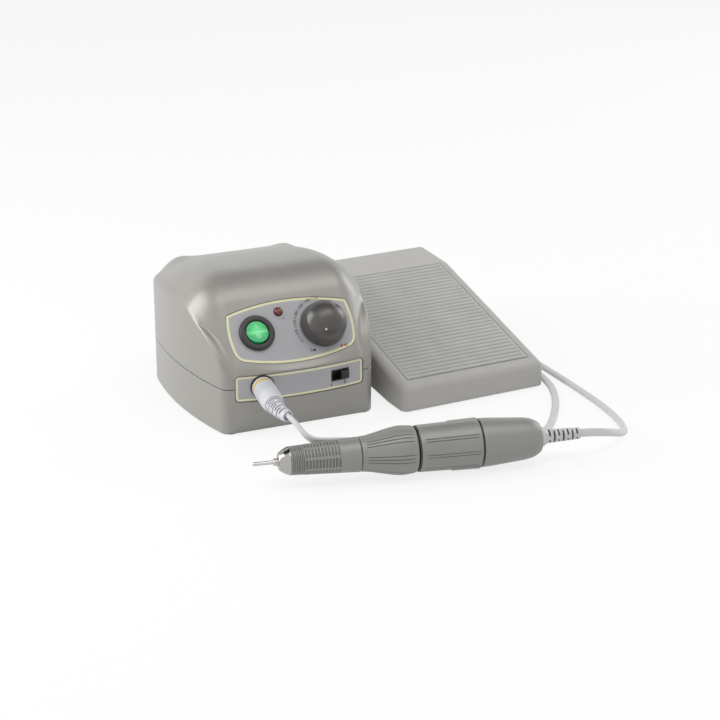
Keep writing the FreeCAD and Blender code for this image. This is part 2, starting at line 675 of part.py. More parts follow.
def chin(name, inset):
    """The wedge of room under the sloping chin."""
    reach = 25
    points = [
        (-d.chin_run, d.chin_height), (-30, d.chin_height), (-30, d.chin_height - reach),
        (CHIN_LEAN * reach - d.chin_run, d.chin_height - reach),
    ]
    return place(slab(name, points, 160), 0, inset, 0)


LIP_INSET = d.wall + d.fit_gap
THROAT_LOW = SEAM_LOW - d.lip_root
lower_plan = plan("lower_plan", 0, d.base_lift, SEAM_LOW - d.base_lift)
lower_rounded = round_edges(
    "lower_rounded", lower_plan, d.base_round,
    lambda edge: edge.BoundBox.ZMax < float(d.base_lift) + 0.5
)
lower_outside = cut("lower_outside", lower_rounded, chin("chin", 0))
tongue = plan("tongue", LIP_INSET, SEAM_LOW - 2, d.lip_rise + d.seam_gap + 2)
room = cut(
    "lower_room", plan("lower_room_plan", d.wall, FLOOR, THROAT_LOW - FLOOR),
    chin("chin_inside", d.wall * 1.06)
)
throat = plan("throat", LIP_INSET + d.lip_wall, THROAT_LOW, 12)
lower_shell = cut("lower_shell", fuse("lower_full", lower_outside, tongue), room, throat)
lower_bosses = at_corners(
    "lower_boss", lambda n, x, y: rod(n, d.boss_radius, SEAM_LOW - 2, x, y, 2)
)
PILLARS = [(sx, sy) for sx in (-1, 1) for sy in (-1, 1)]
pillars = []
pins = []
for index, (sx, sy) in enumerate(PILLARS):
    x = d.pillar_x * sx
    y = d.board_y + d.pillar_y * sy
    pillars.append(rod(f"pillar_{index}", d.pillar_radius, d.board_z - 2, x, y, 2))
    pin_top = d.board_z + d.board_thick + d.pin_rise
    pins.append(rod(f"pillar_pin_{index}", d.pin_radius, pin_top - 2, x, y, 2))
TAB_X = d.core_wide / 2 + d.tab_long / 2
tab_bosses = []
tab_pilots = []
for index, sx in enumerate((-1, 1)):
    x = d.core_x + TAB_X * sx
    tab_bosses.append(rod(f"tab_boss_{index}", d.boss_radius, 6, x, d.core_y, 2))
    tab_pilots.append(rod(f"tab_pilot_{index}", d.screw_radius + d.running_gap, 5, x, d.core_y, 4))
lower_full = fuse("lower_furnished", lower_shell, *lower_bosses, *pillars, *pins, *tab_bosses)
screw_holes = at_corners(
    "screw_hole", lambda n, x, y: rod(n, d.screw_radius + d.running_gap, 40, x, y, -1)
)
screw_pockets = at_corners(
    "screw_pocket", lambda n, x, y: rod(n, d.screw_pocket, d.screw_pocket_tall + 1, x, y, 0)
)
foot_pockets = at_feet(
    "foot_pocket",
    lambda n, x, y: rod(n, d.foot_radius + 0.1, d.foot_tall, x, y, 0)
)
rear_holes = [
    gathered("gland_hole", on_rear(d.gland_x),
             rod("gland_hole_rod", d.gland_body + d.running_gap, 20, -10, 0, 0, "x")),
    gathered("fuse_hole", on_rear(d.fuse_x),
             rod("fuse_hole_rod", d.fuse_body + d.running_gap, 20, -10, 0, 0, "x")),
    gathered("jack_hole", on_rear(d.jack_x),
             rod("jack_hole_rod", d.jack_body + d.running_gap, 20, -10, 0, 0, "x")),
]
plate_recess_low = cut(
    "plate_recess_low",
    front_block("plate_recess_low_block", d.plate_gap),
    rod("plate_recess_low_floor", plate_floor, 60, 0, FRONT_MIDDLE, 0),
)
lower_cut = cut(
    "lower_cut", lower_full, plate_recess_low, *front_holes("lower_front"), *screw_holes,
    *screw_pockets, *foot_pockets, *rear_holes, *tab_pilots
)
node("unit_lower_casing", UNIT, lower_cut)

# Feet and screws of the unit

node("unit_feet", UNIT,
     *at_feet("foot", lambda n, x, y: rod(n, d.foot_radius, d.foot_tall, x, y)))
POCKET_TOP = d.screw_pocket_tall + 1


def screw(name, x, y):
    """A round-headed screw that stands on its head under the base."""
    head = rod(name + "_head", d.screw_head_radius, d.screw_head_tall,
               x, y, POCKET_TOP - d.screw_head_tall)
    slot = box(name + "_slot", d.screw_head_radius * 1.6, 0.8, 0.8,
               x, y, POCKET_TOP - d.screw_head_tall)
    shank = rod(name + "_shank", d.screw_radius, d.screw_long, x, y, POCKET_TOP - 0.5)
    return cut(name, fuse(name + "_blank", head, shank), slot)


long_screws = at_corners("unit_screw", screw)

# Sloped panel and the switch, the speed control and the lamp in it

label = cut(
    "label_plate",
    panel_block("label_block", 0, -d.label_sink, d.label_thick),
    *panel_holes("label_hole", -5, 10)
)
node("upper_panel", PANEL, label)

bezel_turned = turned("bezel_turned", [
    (-d.barrel_long, 0), (-d.barrel_long, d.barrel_radius), (LABEL_FACE, d.barrel_radius),
    (LABEL_FACE, d.bezel_radius), (d.bezel_tall - d.bezel_round, d.bezel_radius),
    (d.bezel_tall - d.bezel_round * 0.3, d.bezel_radius - d.bezel_round * 0.3),
    (d.bezel_tall, d.bezel_radius - d.bezel_round), (d.bezel_tall, d.well_radius + 0.6),
    (d.bezel_tall - 0.6, d.well_radius), (-d.well_deep, d.well_radius), (-d.well_deep, 0),
], "z")
pin_hole = rod("rocker_pin_hole", d.rocker_pin + d.running_gap, d.rocker_pin_reach * 2 + 0.4,
               -d.rocker_pin_reach - 0.2, 0, d.rocker_pivot, "x")
node("power_switch_bezel", SWITCH, cut("bezel", bezel_turned, pin_hole))

ROCKER_EDGE = d.rocker_crown + tan_of(d.rocker_tilt) * 8
rocker_profile = slab("rocker_profile", [
    (-8, -d.rocker_under), (8, -d.rocker_under), (8, ROCKER_EDGE), (0, d.rocker_crown),
    (-8, ROCKER_EDGE),
], 16)
rocker_disc = common("rocker_disc", ball("rocker_ball", d.rocker_radius), rocker_profile)
rocker_pin = rod("rocker_pins", d.rocker_pin, d.rocker_pin_reach * 2,
                 -d.rocker_pin_reach, 0, 0, "x")
rocker = fuse("rocker", rocker_disc, rocker_pin)
place(rocker, 0, 0, d.rocker_pivot, (1, 0, 0), -d.rocker_tilt)
node("power_rocker", SWITCH, rocker)

blades = [
    box(f"switch_blade_{i}", d.blade_wide, d.blade_thick, d.blade_long,
        0, d.blade_pitch * i, -d.barrel_long - d.blade_long)
    for i in (-1, 0, 1)
]
node("power_switch_terminals", SWITCH, *blades)

DOME = arc_radius(d.knob_waist, d.knob_top - d.knob_shoulder)
DOME_Z = d.knob_top - DOME
knob_skirt = doc.addObject("Part::Cone", "knob_skirt")
bind(knob_skirt, Radius1=d.knob_foot, Radius2=d.knob_waist, Height=d.knob_shoulder - d.knob_lift)
place(knob_skirt, 0, 0, d.knob_lift)
knob_cap = common("knob_cap", ball("knob_ball", DOME, 0, 0, DOME_Z),
                  box("knob_cap_box", 40, 40, 20, 0, 0, d.knob_shoulder))
dimple = ball("knob_dimple", d.dimple_radius, d.dimple_reach * sin_of(d.dimple_turn),
              d.dimple_reach * cos_of(d.dimple_turn), d.dimple_height)
DOT_REACH = (DOME - d.dot_sink) * sin_of(d.dot_lean)
DOT = (DOT_REACH * sin_of(d.dot_turn), DOT_REACH * cos_of(d.dot_turn),
       DOME_Z + (DOME - d.dot_sink) * cos_of(d.dot_lean))
knob_cut = cut(
    "knob", fuse("knob_blank", knob_skirt, knob_cap),
    rod("knob_well", d.knob_well, d.knob_well_top),
    rod("knob_bore", d.shaft_radius + d.running_gap, d.shaft_high + 0.3), dimple,
    ball("dot_seat", d.dot_radius + 0.02, *DOT)
)
node("speed_knob", KNOB, knob_cut)
node("knob_pointer_dot", KNOB, ball("pointer_dot", d.dot_radius, *DOT))
node("speed_knob_shaft", KNOB,
     rod("knob_shaft", d.shaft_radius, d.shaft_high + d.shaft_low, 0, 0, -d.shaft_low))
pot_blank = fuse(
    "pot_blank",
    rod("pot_can", d.pot_radius, d.pot_tall, 0, 0, -d.pot_top - d.pot_tall),
    rod("pot_bushing", d.bushing_radius, d.pot_top + d.bushing_high, 0, 0, -d.pot_top)
)
pot = cut("pot", pot_blank, rod("pot_bore", d.shaft_radius + d.running_gap,
                                d.shaft_low + 10, 0, 0, -d.shaft_low - 0.3))
nut = doc.addObject("Part::Prism", "pot_nut_blank")
nut.Polygon = 6
bind(nut, Circumradius=d.nut_across, Height=d.nut_tall)
place(nut, 0, 0, LABEL_FACE)
pot_nut = cut("pot_nut", nut, rod("pot_nut_bore", d.bushing_radius + d.running_gap, 6, 0, 0, -2))
node("potentiometer", KNOB, pot, pot_nut)

lamp_dome = d.lamp_rise - d.lamp_radius
lamp = fuse(
    "lamp",
    rod("lamp_body", d.lamp_radius, d.lamp_low + lamp_dome, 0, 0, -d.lamp_low),
    ball("lamp_ball", d.lamp_radius, 0, 0, lamp_dome),
    rod("lamp_flange", d.lamp_flange, d.lamp_flange_tall, 0, 0, -d.lamp_low),
    rod("lamp_lead_a", 0.3, 7, -1.27, 0, -d.lamp_low - 6.5),
    rod("lamp_lead_b", 0.3, 6, 1.27, 0, -d.lamp_low - 5.5)
)
node("indicator_lamp", LAMP, lamp)

# Front panel, motor socket, plug and direction switch

plate_ring = cut(
    "plate_ring",
    rod("plate_ring_outer", plate_floor + d.plate_thick, 60, 0, FRONT_MIDDLE, 0),
    rod("plate_ring_inner", plate_floor, 60, 0, FRONT_MIDDLE, 0)
)
plate_band = common("plate_band", plate_ring, front_block("plate_block", 0))
node("lower_panel", UNIT, cut("plate", plate_band, *front_holes("plate_hole")))

node("motor_socket", SOCKET, turned("socket_turned", [
    (-d.socket_long, 0), (-d.socket_long, d.socket_barrel), (PLATE_FACE, d.socket_barrel),
    (PLATE_FACE, d.socket_flange), (PLATE_FACE + d.socket_flange_thick, d.socket_flange),
    (PLATE_FACE + d.socket_flange_thick, d.socket_bore), (-d.socket_bore_long, d.socket_bore),
    (-d.socket_bore_long, 0),
]))

plug_points = [
    (d.plug_start - d.plug_ferrule_long, 0), (d.plug_start - d.plug_ferrule_long, d.plug_ferrule),
    (d.plug_start, d.plug_ferrule), (d.plug_start, d.plug_nose), (d.plug_start + 1, d.plug_radius),
    (d.band_start, d.plug_radius), (d.band_start, d.plug_radius - d.band_sink),
    (d.band_end, d.plug_radius - d.band_sink), (d.band_end, d.plug_radius),
]
for index in range(4):
    ring = d.plug_rings_start + d.plug_ring_pitch * index
    plug_points += [
        (ring, d.plug_radius), (ring + d.plug_ring_wide * 0.5, d.plug_radius - d.plug_ring_deep),
        (ring + d.plug_ring_wide, d.plug_radius),
    ]
NECK_START = d.plug_end - d.relief_neck_long
plug_points += [
    (d.plug_taper_start, d.plug_radius), (d.plug_end, d.plug_tail),
    (d.plug_end, d.relief_neck + d.running_gap), (NECK_START, d.relief_neck + d.running_gap),
    (NECK_START, 0),
]
node("motor_plug", SOCKET, turned("plug_turned", plug_points))
band_inner = d.plug_radius - d.band_sink + d.running_gap
node("plug_band", SOCKET, turned("band_turned", [
    (d.band_start + 0.05, band_inner), (d.band_start + 0.05, d.plug_radius + 0.05),
    (d.band_end - 0.05, d.plug_radius + 0.05), (d.band_end - 0.05, band_inner),
]))


def relief_points(start, root, end, tip, slots, first, pitch, wide, deep):
    """Tapered outline of a strain relief with ring slots."""
    points = [(start, root)]
    for index in range(slots):
        slot = first + pitch * index
        radius = root + (tip - root) * ((slot - start) / (end - start))
        points += [(slot, radius), (slot, radius - deep), (slot + wide, radius - deep),
                   (slot + wide, radius)]
    return points + [(end, tip)]


cord_bore = d.cord_radius + d.running_gap
RELIEF_PARTS = 7
RIBBED_PARTS = 5
relief_step = d.relief_long / RELIEF_PARTS
bend_radius = float(d.relief_long) / math.radians(float(d.relief_bend))


def on_bend(share):
    """A placement on the strain relief's bent axis, at a share of its length from the plug."""
    turn = math.radians(float(d.relief_bend)) * share
    x = float(d.plug_end) + bend_radius * math.sin(turn)
    y = bend_radius * (1 - math.cos(turn))
    aim = Rotation(Vector(0, 0, 1), math.degrees(turn)).multiply(Rotation(Vector(0, 1, 0), 90))
    return Placement(Vector(x, y, 0), aim)


def cone(name, low_radius, high_radius, long, place_at):
    """A tapered rod along a placement's own z."""
    obj = doc.addObject("Part::Cone", name)
    bind(obj, Radius1=low_radius, Radius2=high_radius, Height=long)
    obj.Placement = place_at
    return obj


relief_parts = [turned("relief_neck_turned", [
    (d.plug_end - d.relief_neck_long + 0.05, 0),
    (d.plug_end - d.relief_neck_long + 0.05, d.relief_neck),
    (d.plug_end + 0.6, d.relief_neck), (d.plug_end + 0.6, 0),
])]
relief_fall = (d.relief_radius - d.relief_end_radius) / RELIEF_PARTS
for index in range(RIBBED_PARTS):
    radius = d.relief_radius - relief_fall * index
    here = on_bend((index + 0.04) / RELIEF_PARTS)
    core = radius - d.relief_slot_deep
    relief_parts.append(cone(f"relief_core_{index}", core, core - relief_fall,
                             relief_step + 0.4, here))
    relief_parts.append(cone(f"relief_rib_{index}", radius, radius - relief_fall,
                             relief_step - d.relief_slot_wide, here))
relief_end = on_bend(1.0)
last_start = on_bend((RIBBED_PARTS + 0.04) / RELIEF_PARTS)
last_start.Rotation = on_bend((RIBBED_PARTS + RELIEF_PARTS) / (2 * RELIEF_PARTS)).Rotation
relief_parts.append(cone("relief_tip", d.relief_radius - relief_fall * RIBBED_PARTS,
                         d.relief_end_radius,
                         relief_step * (RELIEF_PARTS - RIBBED_PARTS) - 0.1, last_start))
seat_start = relief_end.multiply(Placement(Vector(0, 0, -float(d.cord_seat)), Rotation()))
relief_bore = doc.addObject("Part::Cylinder", "relief_bore")
bind(relief_bore, Radius=cord_bore, Height=d.cord_seat + 2)
relief_bore.Placement = seat_start
node("plug_strain_relief", SOCKET, cut("plug_relief", fuse("relief_full", *relief_parts),
                                       relief_bore))

slide_case = box("slide_case", d.slide_deep + SLIDE_FACE, d.slide_wide, d.slide_tall,
                 -d.slide_deep, 0, 0, "yz")
track_wide = d.slider_wide + d.slider_travel + d.track_gap * 2
track = box("slide_track", d.track_deep + 1, track_wide, d.slider_tall + d.track_gap * 2,
            SLIDE_FACE - d.track_deep, 0, 0, "yz")
node("direction_switch", SLIDE, cut("slide_body", slide_case, track))
slider = box("slider", d.slider_root + d.slider_proud, d.slider_wide, d.slider_tall,
             SLIDE_FACE - d.slider_root, d.slider_travel / 2, 0, "yz")
node("direction_slider", SLIDE, slider)

# Electronics in the unit

board_blank = box("board_blank", d.board_wide, d.board_deep, d.board_thick, 0, d.board_y, d.board_z)
board_holes = [
    rod(f"board_hole_{i}", d.pin_radius + d.running_gap, 6, d.pillar_x * sx,
        d.board_y + d.pillar_y * sy, d.board_z - 2)
    for i, (sx, sy) in enumerate(PILLARS)
]
node("control_board", UNIT, cut("board", board_blank, *board_holes))
BOARD_TOP = d.board_z + d.board_thick
capacitors = [
    rod(f"capacitor_{i}", d.capacitor_radius, d.capacitor_tall,
        d.capacitor_x + d.capacitor_pitch * i, d.capacitor_y, BOARD_TOP)
    for i in (0, 1)
]
node("filter_capacitors", UNIT, *capacitors)
sink_plate = box("sink_plate", d.sink_wide, d.sink_thick, d.sink_tall, d.sink_x, d.sink_y, BOARD_TOP)
fins = [
    box(f"sink_fin_{i}", d.fin_thick, d.fin_long + 0.5, d.sink_tall,
        d.sink_x + d.sink_wide * (i - 2) * 0.235,
        d.sink_y + d.sink_thick / 2 + d.fin_long / 2 - 0.25, BOARD_TOP)
    for i in range(5)
]
node("heat_sink", UNIT, fuse("sink", sink_plate, *fins))
chip = box("chip_block", d.chip_wide, d.chip_thick, d.chip_tall - 4, d.sink_x,
           d.sink_y - d.sink_thick / 2 - d.chip_thick / 2, BOARD_TOP + 4)
leads = [
    box(f"chip_lead_{i}", 0.8, 0.6, 5, d.sink_x + i * 2.54,
        d.sink_y - d.sink_thick / 2 - d.chip_thick / 2, BOARD_TOP)
    for i in (-1, 0, 1)
]
node("power_transistor", UNIT, fuse("chip", chip, *leads))

CORE_Z = 8
core_block = box("core_block", d.core_wide, d.core_deep, d.core_tall, d.core_x, d.core_y, CORE_Z)
window_out = (d.core_leg + d.window_wide) / 2
WINDOW_Z = (d.core_tall - d.window_tall) / 2 + CORE_Z
windows = [
    box(f"core_window_{i}", d.window_wide, 60, d.window_tall, d.core_x + window_out * i,
        d.core_y, WINDOW_Z)
    for i in (-1, 1)
]
tabs = [
    cut(f"core_tab_{i}",
        box(f"core_tab_blank_{i}", d.tab_long + 1, d.core_deep * 0.6, d.tab_thick,
            d.core_x + (TAB_X - 0.5) * i, d.core_y, CORE_Z),
        rod(f"core_tab_hole_{i}", d.screw_radius + 0.3, 10, d.core_x + TAB_X * i, d.core_y,
            CORE_Z - 3))
    for i in (-1, 1)
]
core = fuse("core", cut("core_frame", core_block, *windows), *tabs)
node("transformer_core", UNIT, core)
wind_gap = d.winding_gap
wind_wide = d.core_leg + (d.window_wide - wind_gap) * 2
wind_tall = d.window_tall - wind_gap * 2
wind_block = box("winding_block", wind_wide, d.core_deep + d.winding_out * 2, wind_tall,
                 d.core_x, d.core_y, WINDOW_Z + wind_gap)
wind_round = round_edges("winding_round", wind_block, 4,
                         lambda edge: edge.BoundBox.ZLength > 20)
wind_hole = box("winding_hole", d.core_leg + wind_gap * 2, d.core_deep + wind_gap * 2, 60,
                d.core_x, d.core_y, 0)
node("transformer_winding", UNIT, cut("winding", wind_round, wind_hole))
tab_screws = []
for index, sx in enumerate((-1, 1)):
    x = d.core_x + TAB_X * sx
    top = CORE_Z + d.tab_thick
    shank = rod(f"tab_screw_shank_{index}", d.screw_radius, 5.5, x, d.core_y, top - 5)
    head = rod(f"tab_screw_head_{index}", d.screw_head_radius, d.screw_head_tall, x, d.core_y, top)
    tab_screws.append(fuse(f"tab_screw_{index}", shank, head))
node("unit_screws", UNIT, *long_screws, *tab_screws)

# Fittings in the rear wall

node("mains_cord_gland", on_rear(d.gland_x), turned("gland_turned", [
    (-d.gland_long, d.gland_bore), (-d.gland_long, d.gland_body), (0, d.gland_body),
    (0, d.gland_flange), (d.gland_lip, d.gland_flange - 0.6), (d.gland_lip, d.gland_bore),
]))
node("fuse_holder", on_rear(d.fuse_x), turned("fuse_turned", [
    (-d.fuse_long, 0), (-d.fuse_long, d.fuse_body), (0, d.fuse_body), (0, d.fuse_flange),
    (1.5, d.fuse_flange), (1.5, d.fuse_flange - 1), (d.fuse_lip, d.fuse_flange - 1.4),
    (d.fuse_lip, 0),
]))
node("pedal_jack", on_rear(d.jack_x), turned("jack_turned", [
    (-d.jack_long, 0), (-d.jack_long, d.jack_body), (0, d.jack_body), (0, d.jack_flange),
    (d.jack_lip, d.jack_flange - 0.5), (d.jack_lip, d.jack_bore),
    (-d.jack_long + 3, d.jack_bore), (-d.jack_long + 3, 0),
]))

# Handpiece: mandrel with its depth mark, collet and nose

MARK_END = d.depth_mark + d.depth_mark_wide
mark_radius = d.mandrel_radius - d.depth_mark_deep
node("mandrel", HAND, turned("mandrel_turned", [
    (d.mandrel_start, 0), (d.mandrel_start + 0.4, d.mandrel_radius - 0.4),
    (d.mandrel_start + 1.0, d.mandrel_radius),
    (d.depth_mark, d.mandrel_radius), (d.depth_mark, mark_radius),
    (MARK_END, mark_radius), (MARK_END, d.mandrel_radius),
    (d.mandrel_end, d.mandrel_radius), (d.mandrel_end, 0),
]))
collet_bore = d.mandrel_radius + d.running_gap
node("collet", HAND, turned("collet_turned", [
    (d.collet_start, collet_bore), (d.collet_start, d.collet_radius - 0.4),
    (d.collet_start + 0.6, d.collet_radius), (d.collet_end, d.collet_radius),
    (d.collet_end, collet_bore),
]))
NOSE_BACK = d.nose_end + d.nose_spigot_long
node("nose_cone", HAND, turned("nose_turned", [
    (d.nose_start, d.nose_bore), (d.nose_start, d.nose_small - 0.5),
    (d.nose_start + 0.5, d.nose_small), (d.nose_end - 0.6, d.grip_start_radius),
    (d.nose_end, d.grip_start_radius), (d.nose_end, d.nose_spigot), (NOSE_BACK, d.nose_spigot),
    (NOSE_BACK, d.nose_bore),
]))

# Handpiece: grip, inner tube, twist sleeve and ring

TUBE_START = d.nose_end + 0.1
GRIP_START = d.nose_end + 0.1
tube_seat = d.tube_radius + d.running_gap


def grip_radius(x):
    """Radius of the front grip at a place along its axis."""
    rise = (d.grip_end_radius - d.grip_start_radius) / (d.grip_end - GRIP_START)
    return d.grip_start_radius + rise * (x - GRIP_START)


grip_points = [(GRIP_START, tube_seat), (GRIP_START, d.grip_start_radius)]
for index in range(int(d.fine_count)):
    ring = d.fine_start + d.fine_pitch * index
    middle = ring + d.fine_pitch * 0.4
    grip_points += [(ring, grip_radius(ring)), (middle, grip_radius(ring) - d.groove_deep)]
for index in range(int(d.broad_count)):
    ring = d.broad_start + d.broad_pitch * index
    ring_end = ring + d.broad_wide
    grip_points += [
        (ring, grip_radius(ring)), (ring + 0.2, grip_radius(ring) - d.groove_deep),
        (ring_end - 0.2, grip_radius(ring_end) - d.groove_deep),
        (ring_end, grip_radius(ring_end)),
    ]
grip_points += [(d.grip_end, d.grip_end_radius), (d.grip_end, tube_seat)]
node("front_grip", HAND, turned("grip_turned", grip_points))

node("inner_tube", HAND, turned("tube_turned", [
    (TUBE_START, d.tube_bore), (TUBE_START, d.tube_radius), (d.tube_end, d.tube_radius),
    (d.tube_end, d.tube_bore),
]))
sleeve_blank = turned("sleeve_blank", [
    (d.sleeve_start, tube_seat), (d.sleeve_start, d.grip_end_radius),
    (d.sleeve_mid, d.sleeve_mid_radius), (d.sleeve_top, d.sleeve_top_radius),
    (d.sleeve_end, d.sleeve_end_radius), (d.sleeve_end, tube_seat),
])
node("chuck_sleeve", HAND, sleeve_blank)
node("sleeve_ring", HAND, turned("sleeve_ring_turned", [
    (d.ring_start, tube_seat), (d.ring_start, d.ring_radius), (d.case_start, d.ring_radius),
    (d.case_start, tube_seat),
]))

# Handpiece: motor case and rear cap

CASE_ROOM = d.case_start + d.case_front_wall
case_turned = turned("case_turned", [
    (d.case_start, tube_seat), (d.case_start, d.case_start_radius),
    (d.case_end, d.case_end_radius), (d.case_end, d.case_bore), (CASE_ROOM, d.case_bore),
    (CASE_ROOM, tube_seat),
])
land_foot = d.case_end_radius - 0.9
land_radius = d.case_end_radius + d.land_rise
land_ring = turned("land_ring", [
    (d.land_start, land_foot), (d.land_start, d.case_end_radius - 0.4),
    (d.land_start + d.land_run, land_radius - 0.2), (d.case_end, land_radius),
    (d.case_end, land_foot),
])
land_span = gathered("land_span", (0, 0, 0, (1, 0, 0), d.land_turn),
                     box("land_span_box", d.case_end - d.land_start, 40, d.land_wide,
                         d.land_start, 0, 0, "yz"))
case_lands = common("case_lands", land_ring, land_span)
node("motor_case", HAND, fuse("case_with_lands", case_turned, case_lands))
node("case_ring", HAND, turned("case_ring_turned", [
    (d.case_end, d.case_bore - 1), (d.case_end, d.case_end_radius),
    (d.cap_start, d.cap_start_radius), (d.cap_start, d.case_bore - 1),
]))
CAP_ROOM_END = d.cap_end - d.cap_wall
neck_seat = d.hand_relief_neck + d.running_gap
node("rear_cap", HAND, turned("cap_turned", [
    (d.cap_start, d.case_bore), (d.cap_start, d.cap_start_radius), (d.cap_mid, d.cap_mid_radius),
    (d.cap_shoulder, d.cap_shoulder_radius), (d.cap_corner, d.cap_corner_radius),
    (d.cap_end - 0.8, d.cap_end_radius + 0.9), (d.cap_end, d.cap_end_radius),
    (d.cap_end, neck_seat), (CAP_ROOM_END, neck_seat), (CAP_ROOM_END, d.cap_end_radius - 1),
    (d.cap_shoulder - 2, d.cap_bore), (d.cap_mid, d.cap_bore), (d.cap_mid - 2, d.case_bore),
]))
cap_relief = turned("hand_relief_turned", [
    (CAP_ROOM_END - 2, 0), (CAP_ROOM_END - 2, d.hand_relief_neck + 2),
    (CAP_ROOM_END, d.hand_relief_neck + 2), (CAP_ROOM_END, d.hand_relief_neck),
    (d.cap_end, d.hand_relief_neck), (d.cap_end, d.hand_relief_flange),
    (d.cap_end + 2, d.hand_relief_flange - 0.5),
] + relief_points(
    d.cap_end + d.hand_relief_cone, d.hand_relief_root, d.hand_relief_end,
    d.hand_relief_tip, int(d.hand_relief_slots),
    d.cap_end + d.hand_relief_cone + d.hand_relief_first, d.relief_slot_pitch,
    d.relief_slot_wide, d.hand_slot_deep
) + [
    (d.hand_relief_end, cord_bore), (d.hand_relief_end - d.cord_seat, cord_bore),
    (d.hand_relief_end - d.cord_seat, 0),
])
node("handpiece_strain_relief", HAND, cap_relief)

# Handpiece: spindle, bearings and motor


def ring_body(name, start, long, inner, outer):
    """A plain ring about the handpiece's axis."""
    return turned(name, [
        (start, inner), (start, outer), (start + long, outer), (start + long, inner)
    ])


spindle_bore = d.collet_radius + d.running_gap
shaft_seat = d.motor_shaft_radius + d.running_gap
node("spindle", HAND, turned("spindle_turned", [
    (d.spindle_start, spindle_bore), (d.spindle_start, d.spindle_radius),
    (d.spindle_end, d.spindle_radius), (d.spindle_end, shaft_seat),
    (d.motor_shaft_start - 0.3, shaft_seat), (d.motor_shaft_start - 0.3, 0),
    (d.mandrel_end + 1, 0), (d.mandrel_end + 1, spindle_bore),
]))
spindle_seat = d.spindle_radius + d.running_gap
race = d.tube_bore - d.running_gap
node(
    "shaft_bearings", HAND,
    ring_body("bearing_a", d.front_bearing, d.bearing_long, spindle_seat, race),
    ring_body("bearing_b", d.second_bearing, d.bearing_long, spindle_seat, race),
    ring_body("bearing_c", d.tube_bearing, d.bearing_long, shaft_seat, race),
    ring_body("bearing_d", d.end_plate_start, d.end_plate_long, shaft_seat,
              d.rear_bearing_radius)
)
node("motor_shaft", HAND,
     rod("motor_shaft_rod", d.motor_shaft_radius, d.motor_shaft_end - d.motor_shaft_start,
         d.motor_shaft_start, 0, 0, "x"))
node("motor_magnet", HAND,
     ring_body("magnet", d.magnet_start, d.magnet_end - d.magnet_start, d.magnet_bore,
               d.case_bore - d.running_gap))
armature_blank = ring_body("armature_blank", d.armature_start,
                           d.armature_end - d.armature_start, shaft_seat, d.armature_radius)
slots = []
for index in range(7):
    slot = box(f"armature_slot_{index}", 60, 1.6, 6, d.armature_start - 5, 0,
               d.armature_radius - 3, "y")
    turn = Rotation(Vector(1, 0, 0), 360 / 7 * index)
    slot.Placement = Placement(Vector(0, 0, 0), turn).multiply(slot.Placement)
    slots.append(slot)
node("armature", HAND, cut("armature_slotted", armature_blank, *slots))
node("commutator", HAND,
     ring_body("commutator_ring", d.commutator_start, d.commutator_end - d.commutator_start,
               shaft_seat, d.commutator_radius))
brush_radius = d.commutator_radius + 0.3
brushes = [
    box(f"brush_{i}", d.end_plate_start - d.brush_start, d.brush_reach - brush_radius,
        d.brush_wide, d.brush_start, (d.brush_reach + brush_radius) / 2 * i, 0, "yz")
    for i in (-1, 1)
]
node("motor_brushes", HAND, *brushes)
node("motor_end_plate", HAND,
     ring_body("end_plate", d.end_plate_start, d.end_plate_long,
               d.rear_bearing_radius + d.running_gap, d.case_bore - d.running_gap))

# Pedal: treadle shell with a skirt that rises to the rear

SLOPE_CLIMB = (d.pedal_peak - d.pedal_front) / d.pedal_slope_end
SLOPE = Dim(math.degrees(math.atan(SLOPE_CLIMB)), f"atan({text_of(SLOPE_CLIMB)})")
shell_block = slab("treadle_block", [
    (0, d.pedal_lift), (0, d.pedal_front), (d.pedal_slope_end, d.pedal_peak),
    (d.pedal_long, d.pedal_rear), (d.pedal_long, d.skirt_rise + d.pedal_lift),
    (d.skirt_flat, d.pedal_lift),
], d.pedal_wide)


def on_treadle_edge(edge):
    """Whether an edge of the block is one of its upper or upright edges."""
    bounds = edge.BoundBox
    upright = bounds.XLength < 0.1 and bounds.YLength < 0.1
    upper = bounds.ZMin > 16 and bounds.XLength < 0.1
    crosswise = bounds.XLength > 50 and bounds.YLength < 0.1 and bounds.ZMin > 16
    front_or_rear = crosswise and not 10 < bounds.Center.y < 150
    return upright or upper or front_or_rear


treadle_outside = round_edges("treadle_outside", shell_block, d.pedal_round, on_treadle_edge)
wall = d.pedal_wall
treadle_room = slab("treadle_room", [
    (wall, -5), (wall, d.pedal_front - wall), (d.pedal_slope_end, d.pedal_peak - wall * 1.1),
    (d.pedal_long - wall, d.pedal_rear - wall * 1.05), (d.pedal_long - wall, -5),
], d.pedal_wide - wall * 2)
MAT_LONG = (d.mat_end - d.mat_start) / cos_of(SLOPE)
MAT_WIDE = d.pedal_wide - d.mat_side * 2
MAT_Z = d.pedal_front + SLOPE_CLIMB * d.mat_start
MAT_BASE = (0, d.mat_start, MAT_Z, (1, 0, 0), SLOPE)
mat_recess = gathered("mat_recess", MAT_BASE,
                      box("mat_recess_box", MAT_WIDE + d.mat_gap * 2, MAT_LONG + d.mat_gap * 2,
                          10, 0, -d.mat_gap, -d.mat_sink, "x"))
notch = box("cord_notch", d.notch_wide, 20, d.notch_top, d.pedal_gland_x, d.pedal_long, 0)
treadle_ears = []
for sx in (-1, 1):
    side = "left" if sx < 0 else "right"
    ear_x = d.treadle_ear_x * sx
    ear_round = rod(f"treadle_ear_round_{side}", d.ear_radius, d.ear_thick,
                    ear_x - d.ear_thick / 2, d.hinge_y, d.hinge_z, "x")
    ear_web = box(f"treadle_ear_web_{side}", d.ear_thick, d.ear_radius * 2,
                  d.pedal_front - d.hinge_z + 0.5, ear_x, d.hinge_y, d.hinge_z)
    treadle_ears += [ear_round, ear_web]
